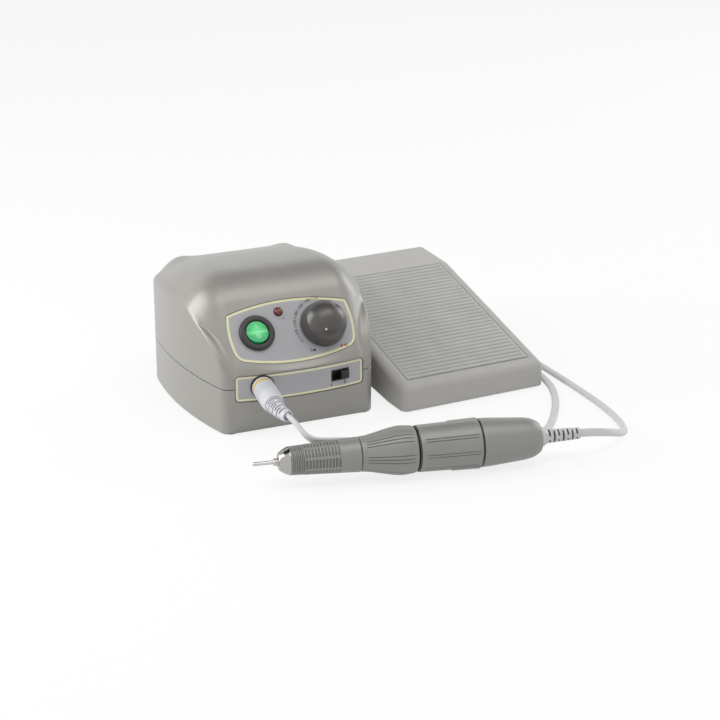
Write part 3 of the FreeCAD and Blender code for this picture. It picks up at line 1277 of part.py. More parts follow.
hinge_hole = rod("hinge_hole", d.hinge_radius + d.running_gap, 100, -50, d.hinge_y, d.hinge_z, "x")
treadle_shell = cut("treadle_shell", treadle_outside, treadle_room, mat_recess, notch)
treadle = cut("treadle", fuse("treadle_eared", treadle_shell, *treadle_ears), hinge_hole)
node("pedal_treadle", PEDAL, treadle)

# Pedal: ribbed mat on the treadle

mat = doc.addObject("PartDesign::Body", "mat_body")
mat_sheet = outline_sketch(mat, "XY_Plane", [
    (-(MAT_WIDE / 2), 0), (MAT_WIDE / 2, 0), (MAT_WIDE / 2, MAT_LONG), (-(MAT_WIDE / 2), MAT_LONG),
])
mat_pad = mat.newObject("PartDesign::Pad", "mat_pad")
mat_pad.Profile = mat_sheet
bind(mat_pad, Length=d.mat_thick)
rib_pitch = MAT_LONG / d.rib_count
rib_wide = rib_pitch * d.rib_share
rib_side = MAT_WIDE / 2 - 1.5
doc.recompute()
rib_sketch = outline_sketch(mat, "XY_Plane", [
    (-rib_side, rib_pitch * 0.2), (rib_side, rib_pitch * 0.2),
    (rib_side, rib_pitch * 0.2 + rib_wide), (-rib_side, rib_pitch * 0.2 + rib_wide),
])
rib_pad = mat.newObject("PartDesign::Pad", "rib_pad")
rib_pad.Profile = rib_sketch
bind(rib_pad, Length=d.mat_thick + d.rib_tall)
doc.recompute()
ribs = mat.newObject("PartDesign::LinearPattern", "ribs")
ribs.Originals = [rib_pad]
ribs.Direction = (plane_of(mat, "Y_Axis"), [""])
bind(ribs, Length=MAT_LONG - rib_pitch)
ribs.Occurrences = int(d.rib_count)
ribs.setExpression("Occurrences", "Sizes.rib_count")
mat.Tip = ribs
mat_placed = doc.addObject("Part::Compound", "mat_on_slope")
mat_placed.Links = [mat]
mat_drop = d.mat_sink
place(mat_placed, 0, MAT_BASE[1] + mat_drop * sin_of(SLOPE), MAT_Z - mat_drop * cos_of(SLOPE),
      (1, 0, 0), SLOPE)
node("pedal_mat", PEDAL, mat_placed)

# Pedal: base plate with hinge ears, feet, pin, spring, foot switch and gland

BASE_TOP = d.base_z + d.base_thick
base_wide = d.pedal_wide - (wall + d.base_gap) * 2
base_plate = box("base_plate", base_wide, d.base_rear - d.base_front, d.base_thick,
                 0, d.base_front, d.base_z, "x")
base_parts = [base_plate]
for sx in (-1, 1):
    side = "left" if sx < 0 else "right"
    ear_x = d.base_ear_x * sx
    base_parts.append(rod(f"base_ear_round_{side}", d.ear_radius, d.ear_thick,
                          ear_x - d.ear_thick / 2, d.hinge_y, d.hinge_z, "x"))
    base_parts.append(box(f"base_ear_web_{side}", d.ear_thick, d.ear_radius * 2,
                          d.hinge_z - BASE_TOP + 1, ear_x, d.hinge_y, BASE_TOP - 1))
base_parts.append(box("gland_upstand", d.upstand_wide, d.upstand_thick,
                      d.upstand_top - BASE_TOP + 1, d.pedal_gland_x,
                      d.base_rear - d.upstand_thick / 2, BASE_TOP - 1))
base_parts.append(rod("spring_seat", d.spring_radius - d.spring_wire * 1.5, 3 + 1,
                      0, d.spring_y, BASE_TOP - 1))
base_tools = [
    rod("base_hinge_hole", d.hinge_radius + d.running_gap, 100, -50, d.hinge_y, d.hinge_z, "x"),
    rod("base_gland_hole", d.pedal_gland_body + d.running_gap, 20, d.pedal_gland_x,
        d.base_rear - 10, d.pedal_gland_z, "y"),
]
PEDAL_FEET = [(sx, y) for sx in (-1, 1) for y in (d.pedal_foot_front, d.pedal_foot_rear)]
feet = []
for index, (sx, y) in enumerate(PEDAL_FEET):
    x = d.pedal_foot_x * sx
    tall = d.base_z + d.pedal_foot_sink
    base_tools.append(rod(f"pedal_foot_pocket_{index}", d.pedal_foot_radius + 0.1, tall, x, y, 0))
    feet.append(rod(f"pedal_foot_{index}", d.pedal_foot_radius, tall, x, y, 0))
node("pedal_base", PEDAL, cut("base", fuse("base_full", *base_parts), *base_tools))
node("pedal_feet", PEDAL, *feet)
PIN_HALF = d.treadle_ear_x + d.ear_thick / 2 + 1
node("pedal_hinge_pin", PEDAL,
     rod("hinge_pin", d.hinge_radius, PIN_HALF * 2, -PIN_HALF, d.hinge_y, d.hinge_z, "x"))


def coil_spring(name, radius, wire, low, high, turns, x, y):
    """A round-wire coil between two heights."""
    pitch = (high - low - 2 * wire) / turns
    path = Part.makeHelix(pitch, pitch * turns, radius)
    path.translate(Vector(0, 0, low + wire))
    ring = Part.Wire(Part.makeCircle(wire, Vector(radius, 0, low + wire), Vector(0, 1, 0)))
    pipe = Part.Wire(path).makePipeShell([ring], True, True)
    pipe.translate(Vector(x, y, 0))
    return solid_feature(name, pipe)


def roof(y):
    """Height of the treadle's underside at a distance from its front."""
    return d.pedal_front + SLOPE_CLIMB * y - wall * 1.1


spring_high = roof(d.spring_y - d.spring_radius) - d.spring_top_gap
node("pedal_spring", PEDAL,
     coil_spring("spring_coil", float(d.spring_radius), float(d.spring_wire), float(BASE_TOP),
                 float(spring_high), float(d.spring_turns), 0, float(d.spring_y)))
switch_low = BASE_TOP
switch_case = box("foot_switch_case", d.foot_switch_wide, d.foot_switch_deep, d.foot_switch_tall,
                  d.foot_switch_x, d.foot_switch_y, switch_low)
switch_bore = rod("foot_switch_bore", d.plunger_radius + d.running_gap, 60, d.foot_switch_x,
                  d.foot_switch_y, d.plunger_bore_low)
node("foot_switch", PEDAL, cut("foot_switch_body", switch_case, switch_bore))
plunger = fuse(
    "plunger",
    rod("plunger_rod", d.plunger_radius, d.plunger_high - d.plunger_low - d.plunger_radius,
        d.foot_switch_x, d.foot_switch_y, d.plunger_low),
    ball("plunger_tip", d.plunger_radius, d.foot_switch_x, d.foot_switch_y,
         d.plunger_high - d.plunger_radius)
)
node("foot_switch_plunger", PEDAL, plunger)
gland_turned = turned("pedal_gland_turned", [
    (-5, d.pedal_gland_bore), (-5, d.pedal_gland_body), (0, d.pedal_gland_body),
    (0, d.pedal_gland_flange), (1.5, d.pedal_gland_flange), (6, d.pedal_gland_flange - 1),
    (6, d.pedal_gland_bore),
])
place(gland_turned, d.pedal_gland_x, d.base_rear, d.pedal_gland_z, (0, 0, 1), 90)
node("pedal_cord_gland", PEDAL, gland_turned)

# Cord: out of the plug, down behind the handpiece, along the pedal's right side, coiled behind
# the pedal, and back beside itself to the handpiece

CORD_LOW = float(d.cord_radius) + 0.05
TURN_SHARE = 0.45
COIL_X = 74.0
COIL_Y = 188.0
COIL_PITCH = 5.6
COIL_LIFT = 5.65
COIL_OUTER = 34.0
COIL_END = 6.0
# The middle of each bend, in the shared frame
LEAD_ROUTE = [
    (-74.6, -92.0, 30.1), (-63.6, -98.6, 28.3), (-47.7, -99.7, 25.5), (-22.7, -93.3, 15.9),
    (20.0, -98.0, CORD_LOW), (55.2, -108.4, CORD_LOW), (82.2, -95.3, CORD_LOW),
    (112.0, -52.0, CORD_LOW), (124.0, -14.0, CORD_LOW), (120.5, 44.0, CORD_LOW),
    (114.5, 108.0, CORD_LOW), (112.5, 140.0, CORD_LOW), (108.0, 162.0, CORD_LOW),
]
TAIL_ROUTE = [
    (111.0, 151.2, 8.2), (124.1, 144.2, 7.2), (132.3, 132.1, 4.2), (135.1, 112.3, CORD_LOW),
    (129.8, 74.7, CORD_LOW), (130.5, 18.0, CORD_LOW), (133.0, -30.0, CORD_LOW),
    (133.4, -75.0, CORD_LOW), (128.4, -106.8, CORD_LOW), (118.5, -123.9, 5.3),
    (102.6, -133.9, 12.2),
]


def bend_edge(start, corner, end):
    """The arc that leaves one side of a corner and joins the other, and its radius."""
    into = (corner - start).normalize()
    out = (end - corner).normalize()
    half = into.getAngle(out) / 2
    radius = start.distanceToPoint(corner) / math.tan(half)
    inward = (out - into).normalize()
    middle = corner + inward * (radius / math.cos(half) - radius)
    return Part.Arc(start, middle, end).toShape(), radius


def route_edges(points):
    """Straight runs joined by arcs as large as the runs allow, and the arcs' radii."""
    edges = []
    radii = []
    here = points[0]
    for before, corner, after in zip(points, points[1:], points[2:]):
        reach = TURN_SHARE * min(before.distanceToPoint(corner), corner.distanceToPoint(after))
        start = corner + (before - corner).normalize() * reach
        end = corner + (after - corner).normalize() * reach
        edges.append(Part.LineSegment(here, start).toShape())
        arc, radius = bend_edge(start, corner, end)
        edges.append(arc)
        radii.append(round(radius, 1))
        here = end
    edges.append(Part.LineSegment(here, points[-1]).toShape())
    return edges, radii


def tube(name, edges, start, aim):
    """The cord's round section along its edges, with its volume held against its length."""
    wire = Part.Wire(edges)
    section = Part.Wire(Part.makeCircle(float(d.cord_radius), start, aim))
    shape = wire.makePipeShell([section], True, False)
    wanted = math.pi * float(d.cord_radius) ** 2 * wire.Length
    print(name, "length", round(wire.Length, 1), "volume share", round(shape.Volume / wanted, 4))
    return solid_feature(name, shape)


def world_of(frame):
    """A frame of the unit or the handpiece as a placement in the shared frame."""
    x, y, z, axis, angle = frame
    if frame is not HAND:
        x = x + d.unit_x
        y = y + d.unit_y
    return Placement(Vector(float(x), float(y), float(z)),
                     Rotation(Vector(*(axis or (0, 0, 1))), float(angle)))


def leaving(frame, end, seat, lead):
    """Points of a cord that leaves a strain relief: inside its bore, and straight out of it."""
    whole = world_of(frame).multiply(end)
    return [whole.multVec(Vector(0, 0, -float(seat))), whole.multVec(Vector(0, 0, lead))]


hand_end = Placement(Vector(float(d.hand_relief_end), 0, 0), Rotation(Vector(0, 1, 0), 90))
lead_start = leaving(SOCKET, relief_end, d.cord_seat - 0.2, 7.5)
tail_start = leaving(HAND, hand_end, d.cord_seat - 0.2, 7.5)
coil_in = Vector(COIL_X + COIL_OUTER, COIL_Y, CORD_LOW)
lead_points = lead_start + [Vector(*p) for p in LEAD_ROUTE] + [coil_in - Vector(0, COIL_END, 0)]
lead_edges, lead_radii = route_edges(lead_points)
print("lead radii", lead_radii)
lead = tube("cord_lead_tube", lead_edges, lead_points[0], lead_points[1] - lead_points[0])

# The coil: half turns that draw in on the lower layer, a half turn that climbs, and half turns
# that let out again on the upper layer

coil_edges = [Part.LineSegment(coil_in - Vector(0, COIL_END, 0), coil_in).toShape()]
here = coil_in
side = 1
radius = COIL_OUTER
for half_turn in range(4):
    top = here + Vector(-side * radius, side * radius, 0)
    end = here + Vector(-side * radius * 2, 0, 0)
    coil_edges.append(Part.Arc(here, top, end).toShape())
    here = end
    side = -side
    radius -= COIL_PITCH / 2
end = here + Vector(-radius * 2, 0, COIL_LIFT)
reach = math.sqrt(radius * radius + COIL_LIFT * COIL_LIFT / 4)
middle = (here + end) * 0.5 + Vector(0, reach, 0)
coil_edges.append(bend_edge(here, here + Vector(0, reach, 0), middle)[0])
coil_edges.append(bend_edge(middle, end + Vector(0, reach, 0), end)[0])
here = end
side = -1
for half_turn in range(4):
    radius += COIL_PITCH / 2
    top = here + Vector(-side * radius, side * radius, 0)
    end = here + Vector(-side * radius * 2, 0, 0)
    coil_edges.append(Part.Arc(here, top, end).toShape())
    here = end
    side = -side
radius += COIL_PITCH / 2
quarter = radius * math.sqrt(0.5)
centre = here + Vector(radius, 0, 0)
coil_out = centre + Vector(0, -radius, 0)
coil_edges.append(Part.Arc(here, centre + Vector(-quarter, -quarter, 0), coil_out).toShape())
tail_end = coil_out + Vector(COIL_END, 0, 0)
coil_edges.append(Part.LineSegment(coil_out, tail_end).toShape())
coil = tube("cord_coil_tube", coil_edges, coil_in - Vector(0, COIL_END, 0), Vector(0, 1, 0))
print("coil ends", coil_out, tail_end)

tail_points = [tail_end] + [Vector(*p) for p in TAIL_ROUTE] + tail_start[::-1]
tail_edges, tail_radii = route_edges(tail_points)
print("tail radii", tail_radii)
tail = tube("cord_tail_tube", tail_edges, tail_points[0], tail_points[1] - tail_points[0])


def own_gap(edges):
    """The least distance between stretches of the cord's path that lie a half turn apart."""
    least = 1000.0
    for index, edge in enumerate(edges):
        for other in edges[index + 2:]:
            least = min(least, edge.distToShape(other)[0])
    return least - 2 * float(d.cord_radius)


print("coil gap to itself", round(own_gap(coil_edges), 2))
node("motor_cord_lead", WORLD, lead)
node("motor_cord_coil", WORLD, coil)
node("motor_cord_tail", WORLD, tail)

# Check every object, then write each node's shape

doc.recompute()
failed = [obj.Name for obj in doc.Objects if {"Invalid", "Error"} & set(obj.State)]
if failed:
    raise RuntimeError("objects not built: " + ", ".join(failed))
for obj in nodes:
    if obj.Shape.isNull() or not obj.Shape.isValid() or not obj.Shape.Solids:
        raise RuntimeError("no valid shape in " + obj.Label)
for obj in nodes:
    obj.Shape.exportStep(f"parts/{obj.Label}.step")
print(len(nodes), "sub-parts written")
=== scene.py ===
"""Dental micromotor: control unit, corded handpiece and foot pedal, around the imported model.

Sizes in the classes are millimetres in each sub-assembly's own frame, unless a class says
metres. Meshes are put into the shared frame in metres.
"""

import logging
import math
from collections.abc import Callable, Sequence
from dataclasses import dataclass, field
from enum import Enum

import bpy
import numpy as np
from mathutils import Matrix
from numpy.typing import NDArray


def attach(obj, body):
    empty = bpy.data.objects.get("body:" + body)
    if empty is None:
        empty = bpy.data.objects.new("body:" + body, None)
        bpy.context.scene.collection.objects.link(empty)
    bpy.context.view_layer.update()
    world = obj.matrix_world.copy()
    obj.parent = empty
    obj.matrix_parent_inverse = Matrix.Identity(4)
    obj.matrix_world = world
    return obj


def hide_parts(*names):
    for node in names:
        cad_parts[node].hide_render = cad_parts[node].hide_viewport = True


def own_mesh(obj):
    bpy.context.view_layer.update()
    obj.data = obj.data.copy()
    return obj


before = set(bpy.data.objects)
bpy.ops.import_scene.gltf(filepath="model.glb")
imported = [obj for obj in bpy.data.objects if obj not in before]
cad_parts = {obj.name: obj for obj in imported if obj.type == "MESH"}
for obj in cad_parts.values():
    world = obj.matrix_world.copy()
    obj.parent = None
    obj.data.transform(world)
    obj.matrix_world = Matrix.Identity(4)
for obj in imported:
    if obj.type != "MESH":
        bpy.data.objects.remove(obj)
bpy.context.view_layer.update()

Array = NDArray[np.float64]
Colour = tuple[float, float, float]
Curve = tuple[tuple[float, float], ...]
MM = 0.001
TURN = 2 * math.pi
SHARP_ANGLE = math.radians(32)
CUT_SHARP_ANGLE = math.radians(40)
SOCKET_BORE = 7.0
SWITCH_BORE = 9.95
LAMP_BORE = 2.75
SHAFT_BORE = 3.65
MARK_THICK = 0.03
# name of the point attribute holding each point's groove depth, which finishes turn into painted
# shade
GROOVE_SHADE_MASK = "sunk"
log = logging.getLogger("micromotor")


class Body(str, Enum):
    """The bodies that pieces ride on."""

    ROOT = "root"
    ROCKER = "rocker"
    KNOB = "knob"
    SLIDER = "slider"
    SLEEVE = "sleeve"
    ROTOR = "rotor"
    TREADLE = "treadle"


# Placement and mesh making


@dataclass(frozen=True)
class Place:
    """A right-handed frame: its origin in millimetres and its three axes as rows."""

    origin: Array
    axes: Array

    @classmethod
    def turned(cls, origin: Sequence[float], yaw: float = 0.0) -> "Place":
        """A level frame at an origin, turned about the vertical.

        Args:
            origin: the origin in millimetres.
            yaw: the turn in degrees.

        Returns:
            The frame.
        """
        c, s = math.cos(math.radians(yaw)), math.sin(math.radians(yaw))
        axes = np.array([[c, s, 0.0], [-s, c, 0.0], [0.0, 0.0, 1.0]])
        return cls(np.asarray(origin, float), axes)

    def world(self, points: Array) -> Array:
        """Points of this frame in the shared frame, in millimetres."""
        return self.origin + np.asarray(points, float) @ self.axes

    def at(self, x: float, y: float, z: float = 0.0) -> "Place":
        """The same axes with their origin moved to a point of this frame."""
        return Place(self.world(np.array([x, y, z])), self.axes)

    def tipped(self, degrees: float) -> "Place":
        """This frame turned about its own x axis."""
        c, s = math.cos(math.radians(degrees)), math.sin(math.radians(degrees))
        x, y, z = self.axes
        return Place(self.origin, np.array([x, y * c + z * s, z * c - y * s]))


UNIT = Place.turned((-54.5, -18.2, 0.0))
PANEL = UNIT.at(0.0, -2.0, 43.0).tipped(52.0)
HAND = Place.turned((-117.98, -97.97, 15.5), -10.3)
PEDAL = Place.turned((64.3, -27.4, 0.0), 3.6)
FRONT_RADIUS = 195.6
FRONT_MIDDLE = 189.1


def on_front(turn: float, height: float) -> Place:
    """A frame on the bowed front face, with x outwards, y to the right and z up.

    Args:
        turn: degrees about the bow's middle, positive to the right.
        height: height above the surface that the unit stands on.

    Returns:
        The frame.
    """
    a = math.radians(turn)
    x = FRONT_RADIUS * math.sin(a)
    y = FRONT_MIDDLE - FRONT_RADIUS * math.cos(a)
    out = np.array([math.sin(a), -math.cos(a), 0.0])
    side = np.array([math.cos(a), math.sin(a), 0.0])
    return Place(UNIT.world(np.array([x, y, height])), np.array([out, side, [0.0, 0.0, 1.0]]))


SWITCH = PANEL.at(-23.2, 21.6)
KNOB = PANEL.at(20.7, 21.0)
LAMP = PANEL.at(-5.9, 33.5)
SOCKET = on_front(-7.64, 30.8)
SLIDE = on_front(7.73, 30.6)


def smooth_step(x: Array, low: float, high: float) -> Array:
    """0 below low, 1 above high, and a cubic between them."""
    share = np.clip((np.asarray(x, float) - low) / (high - low), 0.0, 1.0)
    return share * share * (3 - 2 * share)


def between(x: Array, start: float, end: float, fade: float) -> Array:
    """1 between two places and 0 past them, with a soft step of its own inside each."""
    return smooth_step(x, start, start + fade) - smooth_step(x, end - fade, end)


def higher_of(a: Array, b: Array, blend: float | Array) -> Array:
    """The higher of two fields, with a rounded turn of width blend from one to the other."""
    share = np.clip(0.5 + 0.5 * (a - b) / blend, 0.0, 1.0)
    return b * (1 - share) + a * share + blend * share * (1 - share)


def lower_of(a: Array, b: Array, blend: float | Array) -> Array:
    """The lower of two fields, with a rounded turn from one to the other."""
    return -higher_of(-np.asarray(a), -np.asarray(b), blend)


def evaluated_mesh(source: bpy.types.Object) -> bpy.types.Mesh:
    """A new mesh of what an object shows, its modifiers or its curve worked out."""
    bpy.context.view_layer.update()
    graph = bpy.context.evaluated_depsgraph_get()
    return bpy.data.meshes.new_from_object(source.evaluated_get(graph))


def grid_faces(rows: int, columns: int) -> Array:
    """Four corners of each cell of a grid of points whose last column joins the first."""
    here = np.arange(rows * columns).reshape(rows, columns)
    beside = np.roll(here, -1, axis=1)
    return np.stack([here[:-1], beside[:-1], beside[1:], here[1:]], -1).reshape(-1, 4)


def fan_faces(ring: Array, middle: int, forward: bool) -> Array:
    """Triangles from a closed ring of indices to a middle point."""
    after = np.roll(ring, -1)
    first, second = (ring, after) if forward else (after, ring)
    return np.stack([first, second, np.full_like(ring, middle)], -1)


def enclosed(points: Array, faces: list[Array]) -> float:
    """Six times the volume that closed faces hold, negative where they face inwards."""
    total = 0.0
    for block in faces:
        for k in range(1, block.shape[1] - 1):
            a, b, c = points[block[:, 0]], points[block[:, k]], points[block[:, k + 1]]
            total += float(np.einsum("ij,ij->i", a, np.cross(b, c)).sum())
    return total


def mesh_piece(name: str, points: Array, faces: list[Array], sharp: float = SHARP_ANGLE,
               sunk: Array | None = None) -> bpy.types.Object:
    """An object of one mesh, its faces outwards, its place in its mesh.

    Args:
        name: the piece's name.
        points: corner points in the shared frame, in millimetres.
        faces: arrays of corner indices, three or four to a face.
        sharp: edges that turn by more than this stay crisp.
        sunk: how far each point lies in a slot or groove, from 0 to 1, the mask of the
        painted shade there.

    Returns:
        The object, linked to the scene.
    """
    middle = points.mean(axis=0)
    if enclosed(points - middle, faces) < 0:
        faces = [block[:, ::-1] for block in faces]
    mesh = bpy.data.meshes.new(name)
    listed = [face for block in faces for face in block.tolist()]
    mesh.from_pydata((points * MM).tolist(), [], listed)
    mesh.update()
    mesh.validate()
    mesh.shade_smooth()
    mesh.set_sharp_from_angle(angle=sharp)
    # the groove depth, which the finishes turn into painted shade
    if sunk is not None:
        mesh.attributes.new(GROOVE_SHADE_MASK, "FLOAT", "POINT").data.foreach_set("value", sunk)
    piece = bpy.data.objects.new(name, mesh)
    bpy.context.collection.objects.link(piece)
    return piece


def ring_mesh(name: str, rings: Array, sharp: float = SHARP_ANGLE, sunk: Array | None = None
              ) -> bpy.types.Object:
    """A closed piece through rings of points, its two ends closed by a middle point.

    Args:
        name: the piece's name.
        rings: points as (ring, place on the ring, xyz) in the shared frame.
        sharp: the angle past which an edge stays crisp.
        sunk: how far each point lies in a slot or groove, as (ring, place on the ring),
        the mask of the painted shade there.

    Returns:
        The object.
    """
    count, around, _ = rings.shape
    points = np.vstack([rings.reshape(-1, 3), rings[0].mean(0), rings[-1].mean(0)])
    start = np.arange(around)
    end = start + (count - 1) * around
    faces = [
        grid_faces(count, around),
        fan_faces(start, count * around, False),
        fan_faces(end, count * around + 1, True),
    ]
    if sunk is not None:
        sunk = np.concatenate([np.asarray(sunk, float).ravel(), [0.0, 0.0]])
    return mesh_piece(name, points, faces, sharp, sunk)


def rounded(profile: Sequence[Sequence[float]], radius: float, steps: int = 3) -> Array:
    """A profile with each inner corner replaced by a short parabola.

    The curve from p to q about corner c is (1-t)^2 p + 2t(1-t) c + t^2 q.

    Args:
        profile: the profile's corners.
        radius: how far from a corner its curve starts, at most.
        steps: pieces of each curve.

    Returns:
        The softened profile.
    """
    corners = np.asarray(profile, float)
    found = [corners[0]]
    share = np.linspace(0.0, 1.0, steps + 1)[:, None]
    for before, corner, after in zip(corners, corners[1:], corners[2:]):
        back, ahead = before - corner, after - corner
        long_back, long_ahead = np.linalg.norm(back), np.linalg.norm(ahead)
        if min(long_back, long_ahead) < 1e-6:
            continue
        p = corner + back * min(radius / long_back, 0.45)
        q = corner + ahead * min(radius / long_ahead, 0.45)
        found.extend((1 - share) ** 2 * p + 2 * share * (1 - share) * corner + share ** 2 * q)
    return np.vstack([found, corners[-1]])


def divided(profile: Array, step: float) -> Array:
    """A profile with its long stretches divided into pieces no longer than a step."""
    found = [profile[0]]
    for here, after in zip(profile, profile[1:]):
        count = max(1, math.ceil(float(np.linalg.norm(after - here)) / step))
        found.extend(here + (after - here) * np.linspace(0, 1, count + 1)[1:, None])
    return np.asarray(found)


Relief = Callable[[Array, Array], Array]


def lathe(name: str, place: Place, profile: Sequence[Sequence[float]], along: int = 0,
          around: int = 96, soft: float = 0.25, step: float = 50.0,
          relief: Relief | None = None) -> bpy.types.Object:
    """A turned piece: its profile carried once round an axis, with an optional relief.

    A point is at the profile's distance along the axis, and at its radius plus the relief,
    which is a function of the distance and the angle.

    Args:
        name: the piece's name.
        place: the frame whose axis it turns about.
        profile: (distance along the axis, radius) from one end to the other.
        along: 0 for the frame's x axis, 2 for its z axis.
        around: points round the axis.
        soft: size of the small rounding on each corner.
        step: longest piece of the profile.
        relief: extra radius at a distance along and an angle.

    Returns:
        The object.
    """
    line = divided(rounded(profile, soft), step)
    angle = np.linspace(0, TURN, around, endpoint=False)
    reach = np.maximum(line[:, 1], 0.0005)[:, None] * np.ones_like(angle)
    far = line[:, 0][:, None] * np.ones_like(angle)
    sunk = None
    if relief is not None:
        change = relief(far, angle[None, :] * np.ones_like(far))
        reach = reach + change
        # the relief's depth, kept as the mask for painted shade in its grooves
        sunk = np.clip(-change / max(float(-change.min()), 1e-6), 0.0, 1.0)
    first, second = reach * np.cos(angle), reach * np.sin(angle)
    order = (far, first, second) if along == 0 else (first, second, far)
    return ring_mesh(name, place.world(np.stack(order, -1)), sunk=sunk)


def resampled(line: Array, count: int) -> Array:
    """A closed outline's points, spaced evenly along it."""
    closed = np.vstack([line, line[:1]])
    far = np.concatenate([[0.0], np.cumsum(np.linalg.norm(np.diff(closed, axis=0), axis=1))])
    even = np.linspace(0, far[-1], count, endpoint=False)
    return np.stack([np.interp(even, far, closed[:, k]) for k in (0, 1)], -1)


def disc_outline(discs: Sequence[tuple[float, float, float]], corners: Sequence[float],
                 count: int) -> Array:
    """The outline of the room that several discs share, its corners rounded.

    The rounding between two discs is a circle inside both: its middle lies where the two
    discs' edges, drawn in by its radius, cross.

    Args:
        discs: (middle x, middle y, radius) of each disc, counter-clockwise by their sides.
        corners: rounding between each disc and the next.
        count: points of the outline, evenly spaced.

    Returns:
        The outline's points, counter-clockwise.
    """
    total = len(discs)
    middles = [crossing(discs[i], discs[(i + 1) % total], corners[i], discs)
               for i in range(total)]
    found = []
    for i, (x, y, radius) in enumerate(discs):
        middle = np.array([x, y])
        start, end = middles[i - 1], middles[i]
        found.append(arc_points(middle, radius, start - middle, end - middle))
        after = np.array(discs[(i + 1) % total][:2])
        found.append(arc_points(end, corners[i], end - middle, end - after))
    return resampled(np.vstack(found), count)


def crossing(one: Sequence[float], other: Sequence[float], inset: float,
             discs: Sequence[Sequence[float]]) -> Array:
    """Where two discs' edges, drawn in by an inset, cross inside all the discs."""
    a, b = np.array(one[:2]), np.array(other[:2])
    ra, rb = one[2] - inset, other[2] - inset
    apart = float(np.linalg.norm(b - a))
    along = (apart ** 2 + ra ** 2 - rb ** 2) / (2 * apart)
    rise = math.sqrt(max(ra ** 2 - along ** 2, 0.0))
    unit = (b - a) / apart
    side = np.array([-unit[1], unit[0]])
    both = [a + unit * along + side * rise, a + unit * along - side * rise]
    return min(both, key=lambda p: max(
        float(np.linalg.norm(p - np.array(disc[:2]))) - disc[2] for disc in discs))


def arc_points(middle: Array, radius: float, start: Array, end: Array) -> Array:
    """Points of an arc about a middle, counter-clockwise between two directions."""
    low = math.atan2(start[1], start[0])
    turn = (math.atan2(end[1], end[0]) - low) % TURN
    if turn > math.pi:
        turn -= TURN
    angle = low + np.linspace(0, turn, 40)
    return middle + radius * np.stack([np.cos(angle), np.sin(angle)], -1)


def outward(outline: Array) -> Array:
    """Unit normals of a counter-clockwise outline, pointing out of it."""
    ahead = np.roll(outline, -1, axis=0) - np.roll(outline, 1, axis=0)
    normal = np.stack([ahead[:, 1], -ahead[:, 0]], -1)
    return normal / np.linalg.norm(normal, axis=1, keepdims=True)


def rounded_box(half_x: float, half_y: float, corner: float, count: int = 160) -> Array:
    """The outline of a rectangle with round corners, about its middle."""
    angle = np.linspace(0, TURN, count, endpoint=False)
    middle_x = np.sign(np.cos(angle)) * (half_x - corner)
    middle_y = np.sign(np.sin(angle)) * (half_y - corner)
    return np.stack([middle_x + corner * np.cos(angle), middle_y + corner * np.sin(angle)], -1)


# Finishes


class Graph:
    """A small writer of nodes in one node tree."""

    def __init__(self, tree: bpy.types.NodeTree) -> None:
        """Starts with the tree emptied."""
        self.tree = tree
        tree.nodes.clear()

    def add(self, kind: str, inputs: dict[str | int, object] | None = None,
            **settings: object) -> bpy.types.Node:
        """Adds a node.

        Args:
            kind: the node's type.
            inputs: a value, or another node's output, for each named input.
            settings: properties of the node.

        Returns:
            The node.
        """
        node = self.tree.nodes.new(kind)
        for key, value in settings.items():
            setattr(node, key, value)
        for key, value in (inputs or {}).items():
            socket = node.inputs[key]
            if isinstance(value, bpy.types.NodeSocket):
                self.tree.links.new(value, socket)
            else:
                socket.default_value = value
        return node

    def math(self, operation: str, a: object, b: object = 0.0) -> bpy.types.NodeSocket:
        """The output of a Math node."""
        return self.add("ShaderNodeMath", {0: a, 1: b}, operation=operation).outputs[0]

    def mix(self, share: object, a: object, b: object) -> bpy.types.NodeSocket:
        """A colour between two colours."""
        node = self.add("ShaderNodeMix", {0: share, 6: a, 7: b}, data_type="RGBA")
        return node.outputs[2]

    def band(self, value: object, low: float, high: float, to_low: float = 0.0,
             to_high: float = 1.0) -> bpy.types.NodeSocket:
        """A value carried smoothly from one range to another."""
        node = self.add("ShaderNodeMapRange",
                        {0: value, 1: low, 2: high, 3: to_low, 4: to_high},
                        interpolation_type="SMOOTHSTEP")
        return node.outputs[0]


def rgba(colour: Colour) -> tuple[float, float, float, float]:
    """A colour with full alpha."""
    return (*colour, 1.0)


def new_group(name: str, inputs: dict[str, tuple[str, object]], outputs: dict[str, str]
              ) -> tuple[Graph, bpy.types.Node, bpy.types.Node]:
    """An empty shader group with named sockets.

    Args:
        name: the group's name.
        inputs: socket type and first value by name.
        outputs: socket type by name.

    Returns:
        Its writer, its input node and its output node.
    """
    tree = bpy.data.node_groups.new(name, "ShaderNodeTree")
    graph = Graph(tree)
    for key, (kind, value) in inputs.items():
        socket = tree.interface.new_socket(key, in_out="INPUT", socket_type=kind)
        if value is not None:
            socket.default_value = value
    for key, kind in outputs.items():
        tree.interface.new_socket(key, in_out="OUTPUT", socket_type=kind)
    return graph, graph.add("NodeGroupInput"), graph.add("NodeGroupOutput")


def new_material(name: str) -> tuple[bpy.types.Material, Graph, bpy.types.Node]:
    """An empty material, the writer of its nodes and its output node."""
    made = bpy.data.materials.new(name)
    made.use_nodes = True
    graph = Graph(made.node_tree)
    return made, graph, graph.add("ShaderNodeOutputMaterial")


FLOAT, VECTOR, COLOUR = "NodeSocketFloat", "NodeSocketVector", "NodeSocketColor"


